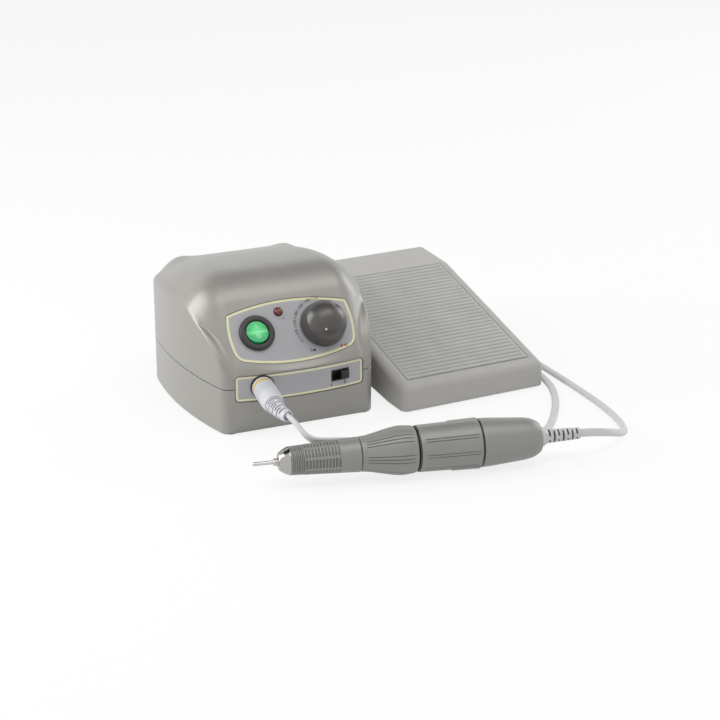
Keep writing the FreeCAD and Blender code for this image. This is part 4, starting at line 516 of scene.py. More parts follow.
def grain_group() -> bpy.types.NodeTree:
    """Moulded or blasted surface: fine noise as bump, soft noise in colour and roughness."""
    graph, into, out = new_group(
        "surface_grain",
        {"Colour": (COLOUR, rgba((0.5, 0.5, 0.5))), "Spread": (FLOAT, 0.05),
         "Size": (FLOAT, 1.0), "Depth": (FLOAT, 0.1), "Roughness": (FLOAT, 0.4),
         "Unevenness": (FLOAT, 0.06), "Normal": (VECTOR, None)},
        {"Colour": COLOUR, "Roughness": FLOAT, "Normal": VECTOR},
    )
    where = graph.add("ShaderNodeTexCoord").outputs["Object"]
    fine_scale = graph.math("DIVIDE", 1400.0, into.outputs["Size"])
    fine = graph.add("ShaderNodeTexNoise", {"Vector": where, "Scale": fine_scale, "Detail": 3.0})
    broad = graph.add("ShaderNodeTexNoise", {"Vector": where, "Scale": 45.0, "Detail": 4.0})
    swing = graph.math("SUBTRACT", broad.outputs[0], 0.5)
    fleck = graph.math("SUBTRACT", fine.outputs[0], 0.5)
    both = graph.math("ADD", graph.math("MULTIPLY", swing, 2.0),
                      graph.math("MULTIPLY", fleck, 1.2))
    gain = graph.math("ADD", graph.math("MULTIPLY", both, into.outputs["Spread"]), 1.0)
    tinted = graph.add("ShaderNodeVectorMath", {0: into.outputs["Colour"], "Scale": gain},
                       operation="SCALE")
    rough = graph.math("ADD", into.outputs["Roughness"],
                       graph.math("MULTIPLY", swing, into.outputs["Unevenness"]))
    bump = graph.add("ShaderNodeBump", {
        "Strength": into.outputs["Depth"], "Distance": 0.00012, "Height": fine.outputs[0],
        "Normal": into.outputs["Normal"]})
    graph.tree.links.new(tinted.outputs[0], out.inputs["Colour"])
    graph.tree.links.new(rough, out.inputs["Roughness"])
    graph.tree.links.new(bump.outputs[0], out.inputs["Normal"])
    return graph.tree


def edge_group() -> bpy.types.NodeTree:
    """Soft edges, and a mask where they are worn: a bevelled normal against the face's."""
    graph, into, out = new_group(
        "edge_wear",
        {"Colour": (COLOUR, rgba((0.5, 0.5, 0.5))), "Worn": (COLOUR, rgba((0.6, 0.6, 0.6))),
         "Amount": (FLOAT, 0.5), "Reach": (FLOAT, 0.0005)},
        {"Colour": COLOUR, "Normal": VECTOR},
    )
    soft = graph.add("ShaderNodeBevel", {"Radius": into.outputs["Reach"]}, samples=4)
    flat = graph.add("ShaderNodeNewGeometry").outputs["Normal"]
    dot = graph.add("ShaderNodeVectorMath", {0: soft.outputs[0], 1: flat},
                    operation="DOT_PRODUCT").outputs["Value"]
    edge = graph.band(dot, 0.99, 0.86)
    where = graph.add("ShaderNodeTexCoord").outputs["Object"]
    patch = graph.add("ShaderNodeTexNoise", {"Vector": where, "Scale": 160.0, "Detail": 5.0})
    worn = graph.math("MULTIPLY", edge, graph.band(patch.outputs[0], 0.35, 0.65))
    share = graph.math("MULTIPLY", worn, into.outputs["Amount"])
    graph.tree.links.new(graph.mix(share, into.outputs["Colour"], into.outputs["Worn"]),
                         out.inputs["Colour"])
    graph.tree.links.new(soft.outputs[0], out.inputs["Normal"])
    return graph.tree


def dust_group() -> bpy.types.NodeTree:
    """A thin film on what faces up: the face's upward share times soft noise."""
    graph, into, out = new_group(
        "settled_film",
        {"Colour": (COLOUR, rgba((0.5, 0.5, 0.5))), "Film": (COLOUR, rgba((0.7, 0.7, 0.7))),
         "Amount": (FLOAT, 0.1)},
        {"Colour": COLOUR},
    )
    up = graph.add("ShaderNodeSeparateXYZ",
                   {0: graph.add("ShaderNodeNewGeometry").outputs["Normal"]}).outputs["Z"]
    where = graph.add("ShaderNodeTexCoord").outputs["Object"]
    cloud = graph.add("ShaderNodeTexNoise", {"Vector": where, "Scale": 70.0, "Detail": 6.0})
    lying = graph.math("MULTIPLY", graph.band(up, 0.5, 1.0),
                       graph.band(cloud.outputs[0], 0.3, 0.75))
    share = graph.math("MULTIPLY", lying, into.outputs["Amount"])
    graph.tree.links.new(graph.mix(share, into.outputs["Colour"], into.outputs["Film"]),
                         out.inputs["Colour"])
    return graph.tree


@dataclass(frozen=True)
class Finish:
    """One surface finish.

    The grain's size is in millimetres, turned_marks is the depth of fine rings about the
    handpiece's axis, glow is how strongly a lamp lights the piece from inside, and sunk is
    painted shade: a darker colour mixed in where a point lies deep in a slot or groove.
    """

    name: str
    colour: Colour
    roughness: float = 0.45
    metallic: float = 0.0
    spread: float = 0.05
    grain: float = 1.0
    depth: float = 0.12
    unevenness: float = 0.08
    worn: Colour | None = None
    worn_amount: float = 0.4
    edge: float = 0.0004
    film: float = 0.0
    specular: float = 0.5
    coat: float = 0.0
    turned_marks: float = 0.0
    glow: float = 0.0
    glow_middle: tuple[float, float, float] = (0.0, 0.0, 0.0)
    glow_reach: float = 0.007
    glow_colour: Colour = (0.1, 1.0, 0.3)
    # painted shade: the colour that slots and grooves darken towards, by their depth
    sunk: Colour | None = None

    def material(self, tools: "Toolbox") -> bpy.types.Material:
        """The finish as a new material, written with the shared node groups."""
        made, graph, out = new_material(self.name)
        worn = self.worn or tuple(min(c * 1.35 + 0.02, 1.0) for c in self.colour)
        edge = graph.add("ShaderNodeGroup", {
            "Colour": rgba(self.colour), "Worn": rgba(worn), "Amount": self.worn_amount,
            "Reach": self.edge}, node_tree=tools.edge)
        colour, normal = edge.outputs["Colour"], edge.outputs["Normal"]
        # painted shade in slots and grooves: the colour is mixed towards sunk by the groove-depth
        # attribute
        if self.sunk is not None:
            low = graph.add("ShaderNodeAttribute", attribute_name=GROOVE_SHADE_MASK).outputs["Fac"]
            colour = graph.mix(graph.band(low, 0.15, 0.85), colour, rgba(self.sunk))
        if self.film > 0:
            film = graph.add("ShaderNodeGroup", {"Amount": self.film, "Colour": colour},
                             node_tree=tools.dust)
            colour = film.outputs["Colour"]
        if self.turned_marks > 0:
            normal = self.marks(graph, normal)
        grain = graph.add("ShaderNodeGroup", {
            "Spread": self.spread, "Size": self.grain, "Depth": self.depth,
            "Roughness": self.roughness, "Unevenness": self.unevenness, "Colour": colour,
            "Normal": normal}, node_tree=tools.grain)
        shader = graph.add("ShaderNodeBsdfPrincipled", {
            "Base Color": grain.outputs["Colour"], "Roughness": grain.outputs["Roughness"],
            "Normal": grain.outputs["Normal"], "Metallic": self.metallic,
            "Specular IOR Level": self.specular, "Coat Weight": self.coat,
            "Coat Roughness": 0.12})
        if self.glow > 0:
            self.light(graph, shader)
        graph.tree.links.new(shader.outputs[0], out.inputs["Surface"])
        return made

    def marks(self, graph: Graph, normal: bpy.types.NodeSocket) -> bpy.types.NodeSocket:
        """Fine turning marks: noise stretched round the handpiece's axis, as bump."""
        where = graph.add("ShaderNodeTexCoord").outputs["Object"]
        turned = graph.add("ShaderNodeMapping", {
            "Vector": where, "Rotation": (0.0, 0.0, math.radians(10.3))})
        split = graph.add("ShaderNodeSeparateXYZ", {0: turned.outputs[0]})
        rings = graph.add("ShaderNodeTexNoise", {
            "W": graph.math("MULTIPLY", split.outputs["X"], 4200.0), "Scale": 1.0, "Detail": 3.0},
            noise_dimensions="1D")
        bump = graph.add("ShaderNodeBump", {
            "Strength": self.turned_marks, "Distance": 0.00006, "Height": rings.outputs[0],
            "Normal": normal})
        return bump.outputs[0]

    def light(self, graph: Graph, shader: bpy.types.Node) -> None:
        """Light from a lamp inside: brightest at its middle, in the piece's own coordinates."""
        where = graph.add("ShaderNodeTexCoord").outputs["Object"]
        middle = tuple(c * MM for c in self.glow_middle)
        far = graph.add("ShaderNodeVectorMath", {0: where, 1: middle}, operation="DISTANCE")
        near = graph.band(far.outputs["Value"], self.glow_reach, 0.0)
        grain = graph.add("ShaderNodeTexNoise", {"Vector": where, "Scale": 900.0, "Detail": 2.0})
        uneven = graph.math("MULTIPLY", near, graph.band(grain.outputs[0], 0.2, 0.8, 0.75, 1.1))
        glow = graph.mix(uneven, rgba((0.0, 0.10, 0.03)), rgba(self.glow_colour))
        graph.tree.links.new(glow, shader.inputs["Emission Color"])
        shader.inputs["Emission Strength"].default_value = self.glow


@dataclass
class Toolbox:
    """The shared node groups, and the materials made so far."""

    grain: bpy.types.NodeTree
    edge: bpy.types.NodeTree
    dust: bpy.types.NodeTree
    made: dict[str, bpy.types.Material] = field(default_factory=dict)

    def material(self, finish: Finish) -> bpy.types.Material:
        """The material of a finish, made once."""
        if finish.name not in self.made:
            self.made[finish.name] = finish.material(self)
        return self.made[finish.name]

    def dress(self, piece: bpy.types.Object, finish: Finish, body: Body, slot: str,
              *replaced: str) -> bpy.types.Object:
        """Gives a new piece its material and the body it rides on, and hides the nodes it stands
        for.

        Args:
            piece: the piece.
            finish: its finish.
            body: the body it rides on.
            slot: the record's material slot; not used.
            replaced: names of the nodes it replaces.

        Returns:
            The piece.
        """
        piece.data.materials.clear()
        piece.data.materials.append(self.material(finish))
        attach(piece, body.value)
        if replaced:
            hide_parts(*replaced)
        log.info("%s on %s, %d faces", piece.name, body.value, len(piece.data.polygons))
        return piece

    def repaint(self, node: str, finish: Finish) -> None:
        """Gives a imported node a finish."""
        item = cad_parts[node]
        if not item.material_slots:
            item.data.materials.append(None)
        for slot in item.material_slots:
            slot.material = self.material(finish)


CASING = Finish("casing_satin", (0.31, 0.303, 0.28), roughness=0.34, metallic=0.2, spread=0.03,
                grain=0.55, depth=0.10, worn=(0.36, 0.35, 0.33), worn_amount=0.25, edge=0.0005,
                film=0.05)
PANEL_FILM = Finish("panel_film", (0.41, 0.41, 0.43), roughness=0.42, spread=0.025, grain=0.35,
                    depth=0.05)
BORDER = Finish("cream_line", (0.80, 0.77, 0.50), roughness=0.5, spread=0.03, depth=0.03)
INK = Finish("black_ink", (0.03, 0.03, 0.03), roughness=0.5, spread=0.1, depth=0.02)
RED_INK = Finish("red_ink", (0.62, 0.03, 0.03), roughness=0.5, spread=0.06, depth=0.02)
WHITE_INK = Finish("white_ink", (0.9, 0.92, 0.9), roughness=0.4, spread=0.03, depth=0.02)
BEZEL = Finish("bezel_black", (0.022, 0.02, 0.018), roughness=0.34, spread=0.1, grain=0.5,
               depth=0.1, worn=(0.1, 0.1, 0.1))
KNOB_SATIN = Finish("knob_satin", (0.062, 0.058, 0.054), roughness=0.3, spread=0.06, grain=0.4,
                    depth=0.06, worn=(0.12, 0.12, 0.115), worn_amount=0.3, specular=0.65)
KNOB_DOT = Finish("knob_dot", (0.6, 0.59, 0.56), roughness=0.4, spread=0.03, depth=0.03)
ROCKER_LENS = Finish("rocker_lens", (0.01, 0.33, 0.10), roughness=0.16, spread=0.06, grain=0.6,
                     depth=0.05, coat=0.5, glow=0.62, glow_middle=(-77.7, -9.6, 64.2),
                     glow_reach=0.0085, glow_colour=(0.18, 1.0, 0.32))
LAMP_LENS = Finish("lamp_lens", (0.16, 0.012, 0.01), roughness=0.12, spread=0.06, depth=0.03,
                   coat=0.7)
LAMP_COLLAR = Finish("lamp_collar", (0.05, 0.012, 0.012), roughness=0.3, depth=0.05)
BLACK = Finish("switch_black", (0.012, 0.012, 0.012), roughness=0.4, spread=0.1, grain=0.5,
               depth=0.12, worn=(0.06, 0.06, 0.06))
# sunk: near-black painted shade in the slots of the plug's strain relief
PLUG_PALE = Finish("plug_pale", (0.60, 0.61, 0.64), roughness=0.38, spread=0.03, grain=0.5,
                   depth=0.07, film=0.03, sunk=(0.05, 0.052, 0.058))
PLUG_YELLOW = Finish("plug_yellow", (0.62, 0.43, 0.05), roughness=0.4, spread=0.05, depth=0.05)
# sunk: near-black painted shade in the slots of the handpiece's strain relief
RELIEF = Finish("relief_rubber", (0.55, 0.56, 0.56), roughness=0.5, spread=0.04, grain=0.5,
                depth=0.08, sunk=(0.035, 0.037, 0.04))
CORD = Finish("cord_sheath", (0.60, 0.605, 0.62), roughness=0.42, spread=0.03, grain=0.5,
              depth=0.06)
# sunk: painted shade in the grip's grooves and the long lines of sleeve and case
HAND_METAL = Finish("anodised_grey", (0.27, 0.272, 0.256), roughness=0.42, metallic=0.2,
                    spread=0.04, grain=0.3, depth=0.08, worn=(0.45, 0.45, 0.44),
                    worn_amount=0.35, edge=0.00025, turned_marks=0.15,
                    sunk=(0.165, 0.165, 0.156))
NOSE_STEEL = Finish("nose_steel", (0.42, 0.408, 0.385), roughness=0.15, metallic=1.0, spread=0.03,
                    grain=0.3, depth=0.04, turned_marks=0.3)
TOOL_STEEL = Finish("tool_steel", (0.55, 0.54, 0.52), roughness=0.3, metallic=1.0, spread=0.04,
                    grain=0.3, depth=0.05, turned_marks=0.3)
RING_BLACK = Finish("ring_black", (0.02, 0.02, 0.02), roughness=0.45, spread=0.08, depth=0.08)
PEDAL_SHELL = Finish("pedal_shell", (0.46, 0.45, 0.432), roughness=0.52, specular=0.25,
                     spread=0.03, grain=0.7, depth=0.14, worn=(0.44, 0.43, 0.42),
                     worn_amount=0.3, edge=0.0012, film=0.06)
# sunk: painted shade in the valleys between the mat's ribs
PEDAL_MAT = Finish("mat_rubber", (0.47, 0.465, 0.452), roughness=0.55, spread=0.06, grain=0.6,
                   depth=0.15, worn=(0.36, 0.355, 0.345), edge=0.0003, film=0.12,
                   sunk=(0.33, 0.325, 0.315))
PEDAL_STEEL = Finish("powder_coat", (0.05, 0.05, 0.05), roughness=0.5, spread=0.08, grain=0.9,
                     depth=0.3, worn=(0.12, 0.12, 0.12))
RUBBER = Finish("foot_rubber", (0.03, 0.03, 0.03), roughness=0.7, spread=0.12, depth=0.2)
PLATED = Finish("plated_metal", (0.6, 0.6, 0.6), roughness=0.25, metallic=1.0, spread=0.04,
                depth=0.05)
ZINC = Finish("zinc_steel", (0.5, 0.5, 0.48), roughness=0.35, metallic=1.0, spread=0.08,
              depth=0.1)
BRASS = Finish("plain_brass", (0.7, 0.52, 0.22), roughness=0.3, metallic=1.0, spread=0.06,
               depth=0.05)
COPPER = Finish("copper_wire", (0.62, 0.28, 0.12), roughness=0.35, metallic=0.9, spread=0.1,
                grain=2.0, depth=0.4)
IRON = Finish("core_iron", (0.09, 0.09, 0.1), roughness=0.5, metallic=0.6, spread=0.12,
              grain=1.6, depth=0.3)
BOARD = Finish("board_green", (0.02, 0.12, 0.05), roughness=0.35, spread=0.1, depth=0.05)
CAPACITOR = Finish("capacitor_sleeve", (0.02, 0.025, 0.07), roughness=0.25, spread=0.06,
                   depth=0.03)
ALUMINIUM = Finish("bare_aluminium", (0.6, 0.6, 0.61), roughness=0.35, metallic=1.0,
                   spread=0.05, depth=0.08)


# Control unit


@dataclass
class Casing:
    """The unit's two casings: a bowed plan, a hood between two shoulders, and a chin.

    A curve lists a value at several distances from the front.
    """

    around: int = 720
    wall: float = 2.5
    seam_low: float = 29.8
    seam_high: float = 30.2
    rim_round: float = 2.2
    base_lift: float = 0.2
    base_round: float = 1.4
    chin_height: float = 20.0
    chin_run: float = 6.8
    chin_step: float = 0.45
    middle: tuple[float, float] = (0.0, 60.0)
    side_half: float = 60.5
    side_radius: float = 255.0
    side_middle: float = 72.3
    depth: float = 126.0
    panel_lean: float = 38.0
    hood_start: float = 24.5
    hood_round: float = 36.0
    hood_back_round: float = 180.0
    hood_inset: Curve = ((0, 8.0), (20, 10.5), (60, 16.8), (115, 20.5))
    hood_side: Curve = ((0, 2.2), (40, 1.2), (115, 0.61))
    hood_edge_blend: float = 12.0
    shoulder_blend: Curve = ((0, 2.0), (30, 4.0), (115, 9.5))
    brow_y: float = -2.0
    brow_z: float = 43.0
    brow_fade: float = 4.5
    rim_top: float = 72.5
    rim_rise: float = 30.5
    rim_run: float = 17.5
    rim_fall: float = 5.0
    rim_slope: float = 0.3
    horn_rise: float = 4.5
    horn_at: tuple[float, float] = (38.7, 119.5)
    horn_size: tuple[float, float] = (9.8, 13.8)
    front_corner: float = 8.0
    rear_corner: float = 22.0

    def outline(self) -> Array:
        """The plan's outline: front and side arcs, a flat back and round corners."""
        far = 5000.0
        side = self.side_radius - self.side_half
        discs = [
            (0.0, FRONT_MIDDLE, FRONT_RADIUS), (-side, self.side_middle, self.side_radius),
            (0.0, self.depth - far, far), (side, self.side_middle, self.side_radius),
        ]
        front, rear = self.front_corner, self.rear_corner
        return disc_outline(discs, [front, rear, rear, front], self.around)

    def hood_line(self, y: Array) -> Array:
        """The hood from the side: brow, slope, round crest and a slow fall to the rear."""
        lean = math.radians(90 - self.panel_lean)
        climb = math.tan(lean)
        crest_y = self.hood_start + self.hood_round * math.sin(lean)
        along = self.hood_start - self.brow_y
        crest_z = self.brow_z + along * climb - self.hood_round * math.cos(lean)
        brow = np.maximum(self.brow_y - y, 0) / self.brow_fade
        slope = self.brow_z + (y - self.brow_y) * climb + 2.0 * brow ** 2
        crest = crest_z + np.sqrt(np.maximum(self.hood_round ** 2 - (y - crest_y) ** 2, 0))
        rear = crest_z + self.hood_round - (y - crest_y) ** 2 / (2 * self.hood_back_round)
        return np.where(y < self.hood_start, slope, np.where(y < crest_y, crest, rear))

    def top(self, x: Array, y: Array) -> Array:
        """Height of the top: the higher of hood and shoulder, with a horn at each rear side."""
        side = np.sqrt(self.side_radius ** 2 - (y - self.side_middle) ** 2)
        edge = self.side_half - self.side_radius + side - np.abs(x)
        fall = np.interp(y, *zip(*self.hood_side))
        fall = fall * (edge - np.interp(y, *zip(*self.hood_inset)))
        hood = self.hood_line(y)
        hood = lower_of(hood, hood + fall, self.hood_edge_blend)
        near = ((np.abs(x) - self.horn_at[0]) / self.horn_size[0]) ** 2
        near = near + ((y - self.horn_at[1]) / self.horn_size[1]) ** 2
        hood = hood + self.horn_rise * np.exp(-near)
        late = np.maximum(y - 60.0, 0) / 50.0
        rise = self.rim_rise * np.exp(-np.maximum(y, -3.0) / self.rim_run)
        shoulder = self.rim_top - rise - self.rim_fall * late ** 2 - self.rim_slope * edge
        return higher_of(hood, shoulder, np.interp(y, *zip(*self.shoulder_blend)))

    def top_rings(self, line: Array, normal: Array, drop: float, rings: int) -> Array:
        """Rings over the top from the wall to the middle.

        The first rings follow the wall and are rounded with a quarter arc, then the rest
        shrink evenly towards the middle.

        Args:
            line: the plan's outline.
            normal: its outward normals.
            drop: how far below the top the rings lie.
            rings: how many rings shrink towards the middle.

        Returns:
            Points as (ring, place, xyz) in the unit's frame.
        """
        found = []
        radius = self.rim_round
        for share in np.linspace(0, 1, 9)[:-1]:
            inset = radius * (1 - math.cos(share * math.pi / 2))
            p = line - normal * inset
            z = self.top(p[:, 0], p[:, 1]) - radius * (1 - math.sin(share * math.pi / 2))
            found.append(np.column_stack([p, z - drop]))
        start = line - normal * radius
        middle = np.array(self.middle)
        for share in np.linspace(0, 1, rings, endpoint=False):
            p = start + (middle - start) * share
            found.append(np.column_stack([p, self.top(p[:, 0], p[:, 1]) - drop]))
        return np.stack(found)

    def upper_points(self) -> Array:
        """Rings of the upper casing: inner middle, inner wall, seam edge, outer wall and top."""
        line = self.outline()
        normal = outward(line)
        inner_line = line - normal * self.wall
        inner = self.top_rings(inner_line, normal, self.wall, 10)[::-1]
        outer = self.top_rings(line, normal, 0.0, 94)
        low = self.seam_high
        seam = [(self.wall, low), (0.25, low), (0.0, low + 0.25)]
        edge = [np.column_stack([line - normal * inset, np.full(len(line), z)])
                for inset, z in seam]
        first = edge[-1]
        wall = [first + (outer[0] - first) * share for share in np.linspace(0, 1, 9)[1:-1]]
        return np.concatenate([inner, np.stack(edge), np.stack(wall), outer])

    def lower_points(self) -> Array:
        """Rings of the lower casing: seam edge, outer wall with its chin, round base edge."""
        line = self.outline()
        normal = outward(line)
        heights = [(self.wall, self.seam_low), (0.25, self.seam_low), (0.0, self.seam_low - 0.25)]
        heights += [(0.0, z) for z in np.linspace(self.seam_low - 0.9, 3.0, 84)]
        bend = np.linspace(0, math.pi / 2, 9)
        low = self.base_lift + self.base_round
        heights += [(self.base_round * (1 - math.cos(a)), low - self.base_round * math.sin(a))
                    for a in bend]
        rings = []
        for inset, z in heights:
            p = line - normal * inset
            cut = -self.chin_run + self.chin_run / self.chin_height * (self.chin_height - z)
            inside = np.maximum(cut - p[:, 1], 0.0)
            y = p[:, 1] + inside + self.chin_step * smooth_step(inside, 0.0, 0.25)
            rings.append(np.column_stack([p[:, 0], y, np.full(len(p), z)]))
        base = rings[-1]
        middle = np.array([*self.middle, self.base_lift])
        rings += [base + (middle - base) * share for share in (0.02, 0.3, 0.6)]
        inside = rings[0] + (np.array([*self.middle, self.seam_low]) - rings[0]) * 0.02
        floor = inside.copy()
        floor[:, 2] = self.base_lift + self.wall
        floor[:, 1] = np.maximum(floor[:, 1], 2.5)
        return np.stack([floor + (middle + [0, 0, self.wall] - floor) * 0.5, floor, inside]
                        + rings)

    def recess(self) -> bpy.types.Object:
        """The room that the front panel sits in, cut 1 mm deep into the bowed front."""
        panel, gap = FrontPanel(), 0.35
        line = rounded_box(panel.half + gap, panel.half_tall + gap, panel.corner + gap)
        outer = front_point(line, FRONT_RADIUS + 12.0)
        inner = front_point(line, FRONT_RADIUS - 1.0)
        return ring_mesh("front_recess", UNIT.world(np.stack([outer, inner])))

    def panel_room(self) -> bpy.types.Object:
        """The room that the sloped panel's film sits in."""
        line = ControlPanel().outline(0.25)
        set_on = on_place(PANEL)
        return ring_mesh("panel_room", np.stack([set_on(line, z) for z in (8.0, -0.8)]))

    def build(self, tools: Toolbox) -> None:
        """Builds both casings, with the rooms for the two panels cut out of them."""
        upper = ring_mesh("upper_casing", UNIT.world(self.upper_points()), CUT_SHARP_ANGLE)
        lower = ring_mesh("lower_casing", UNIT.world(self.lower_points()), CUT_SHARP_ANGLE)
        front = [self.recess(), bore(SOCKET, SOCKET_BORE, 0, -14.0, 8.0), switch_hole()]
        slope = [self.panel_room(), *panel_bores()]
        cut_away(upper, front[0], slope[0], *front[1:], *slope[1:])
        cut_away(lower, *front)
        discard(*front, *slope)
        tools.dress(upper, CASING, Body.ROOT, "casing", "unit_upper_casing")
        tools.dress(lower, CASING, Body.ROOT, "base_casing", "unit_lower_casing")


def bore(place: Place, radius: float, along: int, low: float, high: float) -> bpy.types.Object:
    """A plain rod to cut a round hole with."""
    return lathe("bore", place, [(low, 0.0), (low, radius), (high, radius), (high, 0.0)],
                 along, 96, 0.01)


def switch_hole() -> bpy.types.Object:
    """The block that cuts the direction switch's hole."""
    line = rounded_box(6.32, 3.72, 0.4, 96)
    rings = [SLIDE.world(np.column_stack([np.full(len(line), x), line])) for x in (-10.0, 6.0)]
    return ring_mesh("switch_hole", np.stack(rings))


def panel_bores() -> list[bpy.types.Object]:
    """The rods that cut the sloped panel's holes for its switch, lamp and knob."""
    return [bore(SWITCH, SWITCH_BORE, 2, -12.0, 6.0), bore(LAMP, LAMP_BORE, 2, -9.0, 6.0),
            bore(KNOB, SHAFT_BORE, 2, -9.0, 6.0)]


def front_point(line: Array, radius: float) -> Array:
    """Points (across, up) wrapped onto the bowed front at a radius from the bow's middle."""
    y = FRONT_MIDDLE - np.sqrt(radius ** 2 - line[:, 0] ** 2)
    return np.column_stack([line[:, 0], y, line[:, 1] + FrontPanel.height])


def cut_away(piece: bpy.types.Object, *cutters: bpy.types.Object) -> None:
    """Takes cutters out of a piece and keeps the result as its mesh."""
    for cutter in cutters:
        tool = piece.modifiers.new("cut", "BOOLEAN")
        tool.operation = "DIFFERENCE"
        tool.solver = "EXACT"
        tool.object = cutter
    mesh = evaluated_mesh(piece)
    piece.modifiers.clear()
    piece.data = mesh
    mesh.shade_smooth()
    mesh.set_sharp_from_angle(angle=CUT_SHARP_ANGLE)


def discard(*spent: bpy.types.Object) -> None:
    """Removes objects that only helped to make others."""
    for item in spent:
        bpy.data.objects.remove(item)


def slab(name: str, outline: Array, low: float, high: float,
         place: Callable[[Array, float], Array], edge: float = 0.12) -> bpy.types.Object:
    """A thin closed plate of an outline, its upper edge rounded.

    Rings go down the side of the plate, and shrink to its middle on both faces.

    Args:
        name: the piece's name.
        outline: points in the plate's plane.
        low: height of its back.
        high: height of its face.
        place: carries plane points at a height into the shared frame.
        edge: size of the upper edge's rounding.

    Returns:
        The object.
    """
    normal = outward(outline)
    middle = outline.mean(axis=0)
    shrunk = [outline + (middle - outline) * share for share in (0.9, 0.6, 0.3, 0.05)]
    rings = [place(line, low) for line in shrunk]
    rings += [place(outline, low), place(outline, high - edge)]
    rings += [place(outline - normal * edge * 0.3, high - edge * 0.3),
              place(outline - normal * edge, high)]
    rings += [place(line, high) for line in shrunk[::-1]]
    return ring_mesh(name, np.stack(rings))


def hoop(name: str, outline: Array, outer: float, inner: float, low: float, high: float,
         place: Callable[[Array, float], Array]) -> bpy.types.Object:
    """A thin closed line along an outline, between two insets and two heights."""
    normal = outward(outline)
    edge = 0.03
    corners = [(inner, low), (outer, low), (outer, high - edge), (outer + edge, high),
               (inner - edge, high), (inner, high - edge)]
    rings = np.stack([place(outline - normal * inset, z) for inset, z in corners])
    around = len(outline)
    faces = grid_faces(len(corners) + 1, around) % (len(corners) * around)
    return mesh_piece(name, rings.reshape(-1, 3), [faces])


def on_place(place: Place) -> Callable[[Array, float], Array]:
    """What carries plane points at a height above a frame's plane into the shared frame."""
    return lambda line, height: place.world(
        np.column_stack([line, np.full(len(line), height)]))


def on_bow(line: Array, height: float) -> Array:
    """Panel points at a height above the bowed front's own radius, in the shared frame."""
    return UNIT.world(front_point(line, FRONT_RADIUS + height))


def lettering(name: str, text: str, size: float, place: Place, turn: float = 0.0
              ) -> bpy.types.Object:
    """A plain number, letter or mark as a thin raised mesh.

    Args:
        name: the piece's name.
        text: what it shows.
        size: height of its letters.
        place: the frame whose x runs along the text and whose y runs up it.
        turn: degrees it is turned in that plane.

    Returns:
        The object.
    """
    curve = bpy.data.curves.new(name, "FONT")
    curve.body = text
    curve.size = size * 1.35
    curve.extrude = MARK_THICK
    curve.offset = size * 0.008
    curve.align_x = "CENTER"
    curve.align_y = "CENTER"
    source = bpy.data.objects.new(name + "_source", curve)
    bpy.context.collection.objects.link(source)
    mesh = evaluated_mesh(source)
    discard(source)
    points = np.empty(len(mesh.vertices) * 3)
    mesh.vertices.foreach_get("co", points)
    points = points.reshape(-1, 3)
    c, s = math.cos(math.radians(turn)), math.sin(math.radians(turn))
    flat = np.column_stack([points[:, 0] * c - points[:, 1] * s,
                            points[:, 0] * s + points[:, 1] * c,
                            points[:, 2] + 2 * MARK_THICK])
    mesh.vertices.foreach_set("co", (place.world(flat) * MM).ravel())
    mesh.update()
    piece = bpy.data.objects.new(name, mesh)
    bpy.context.collection.objects.link(piece)
    return piece


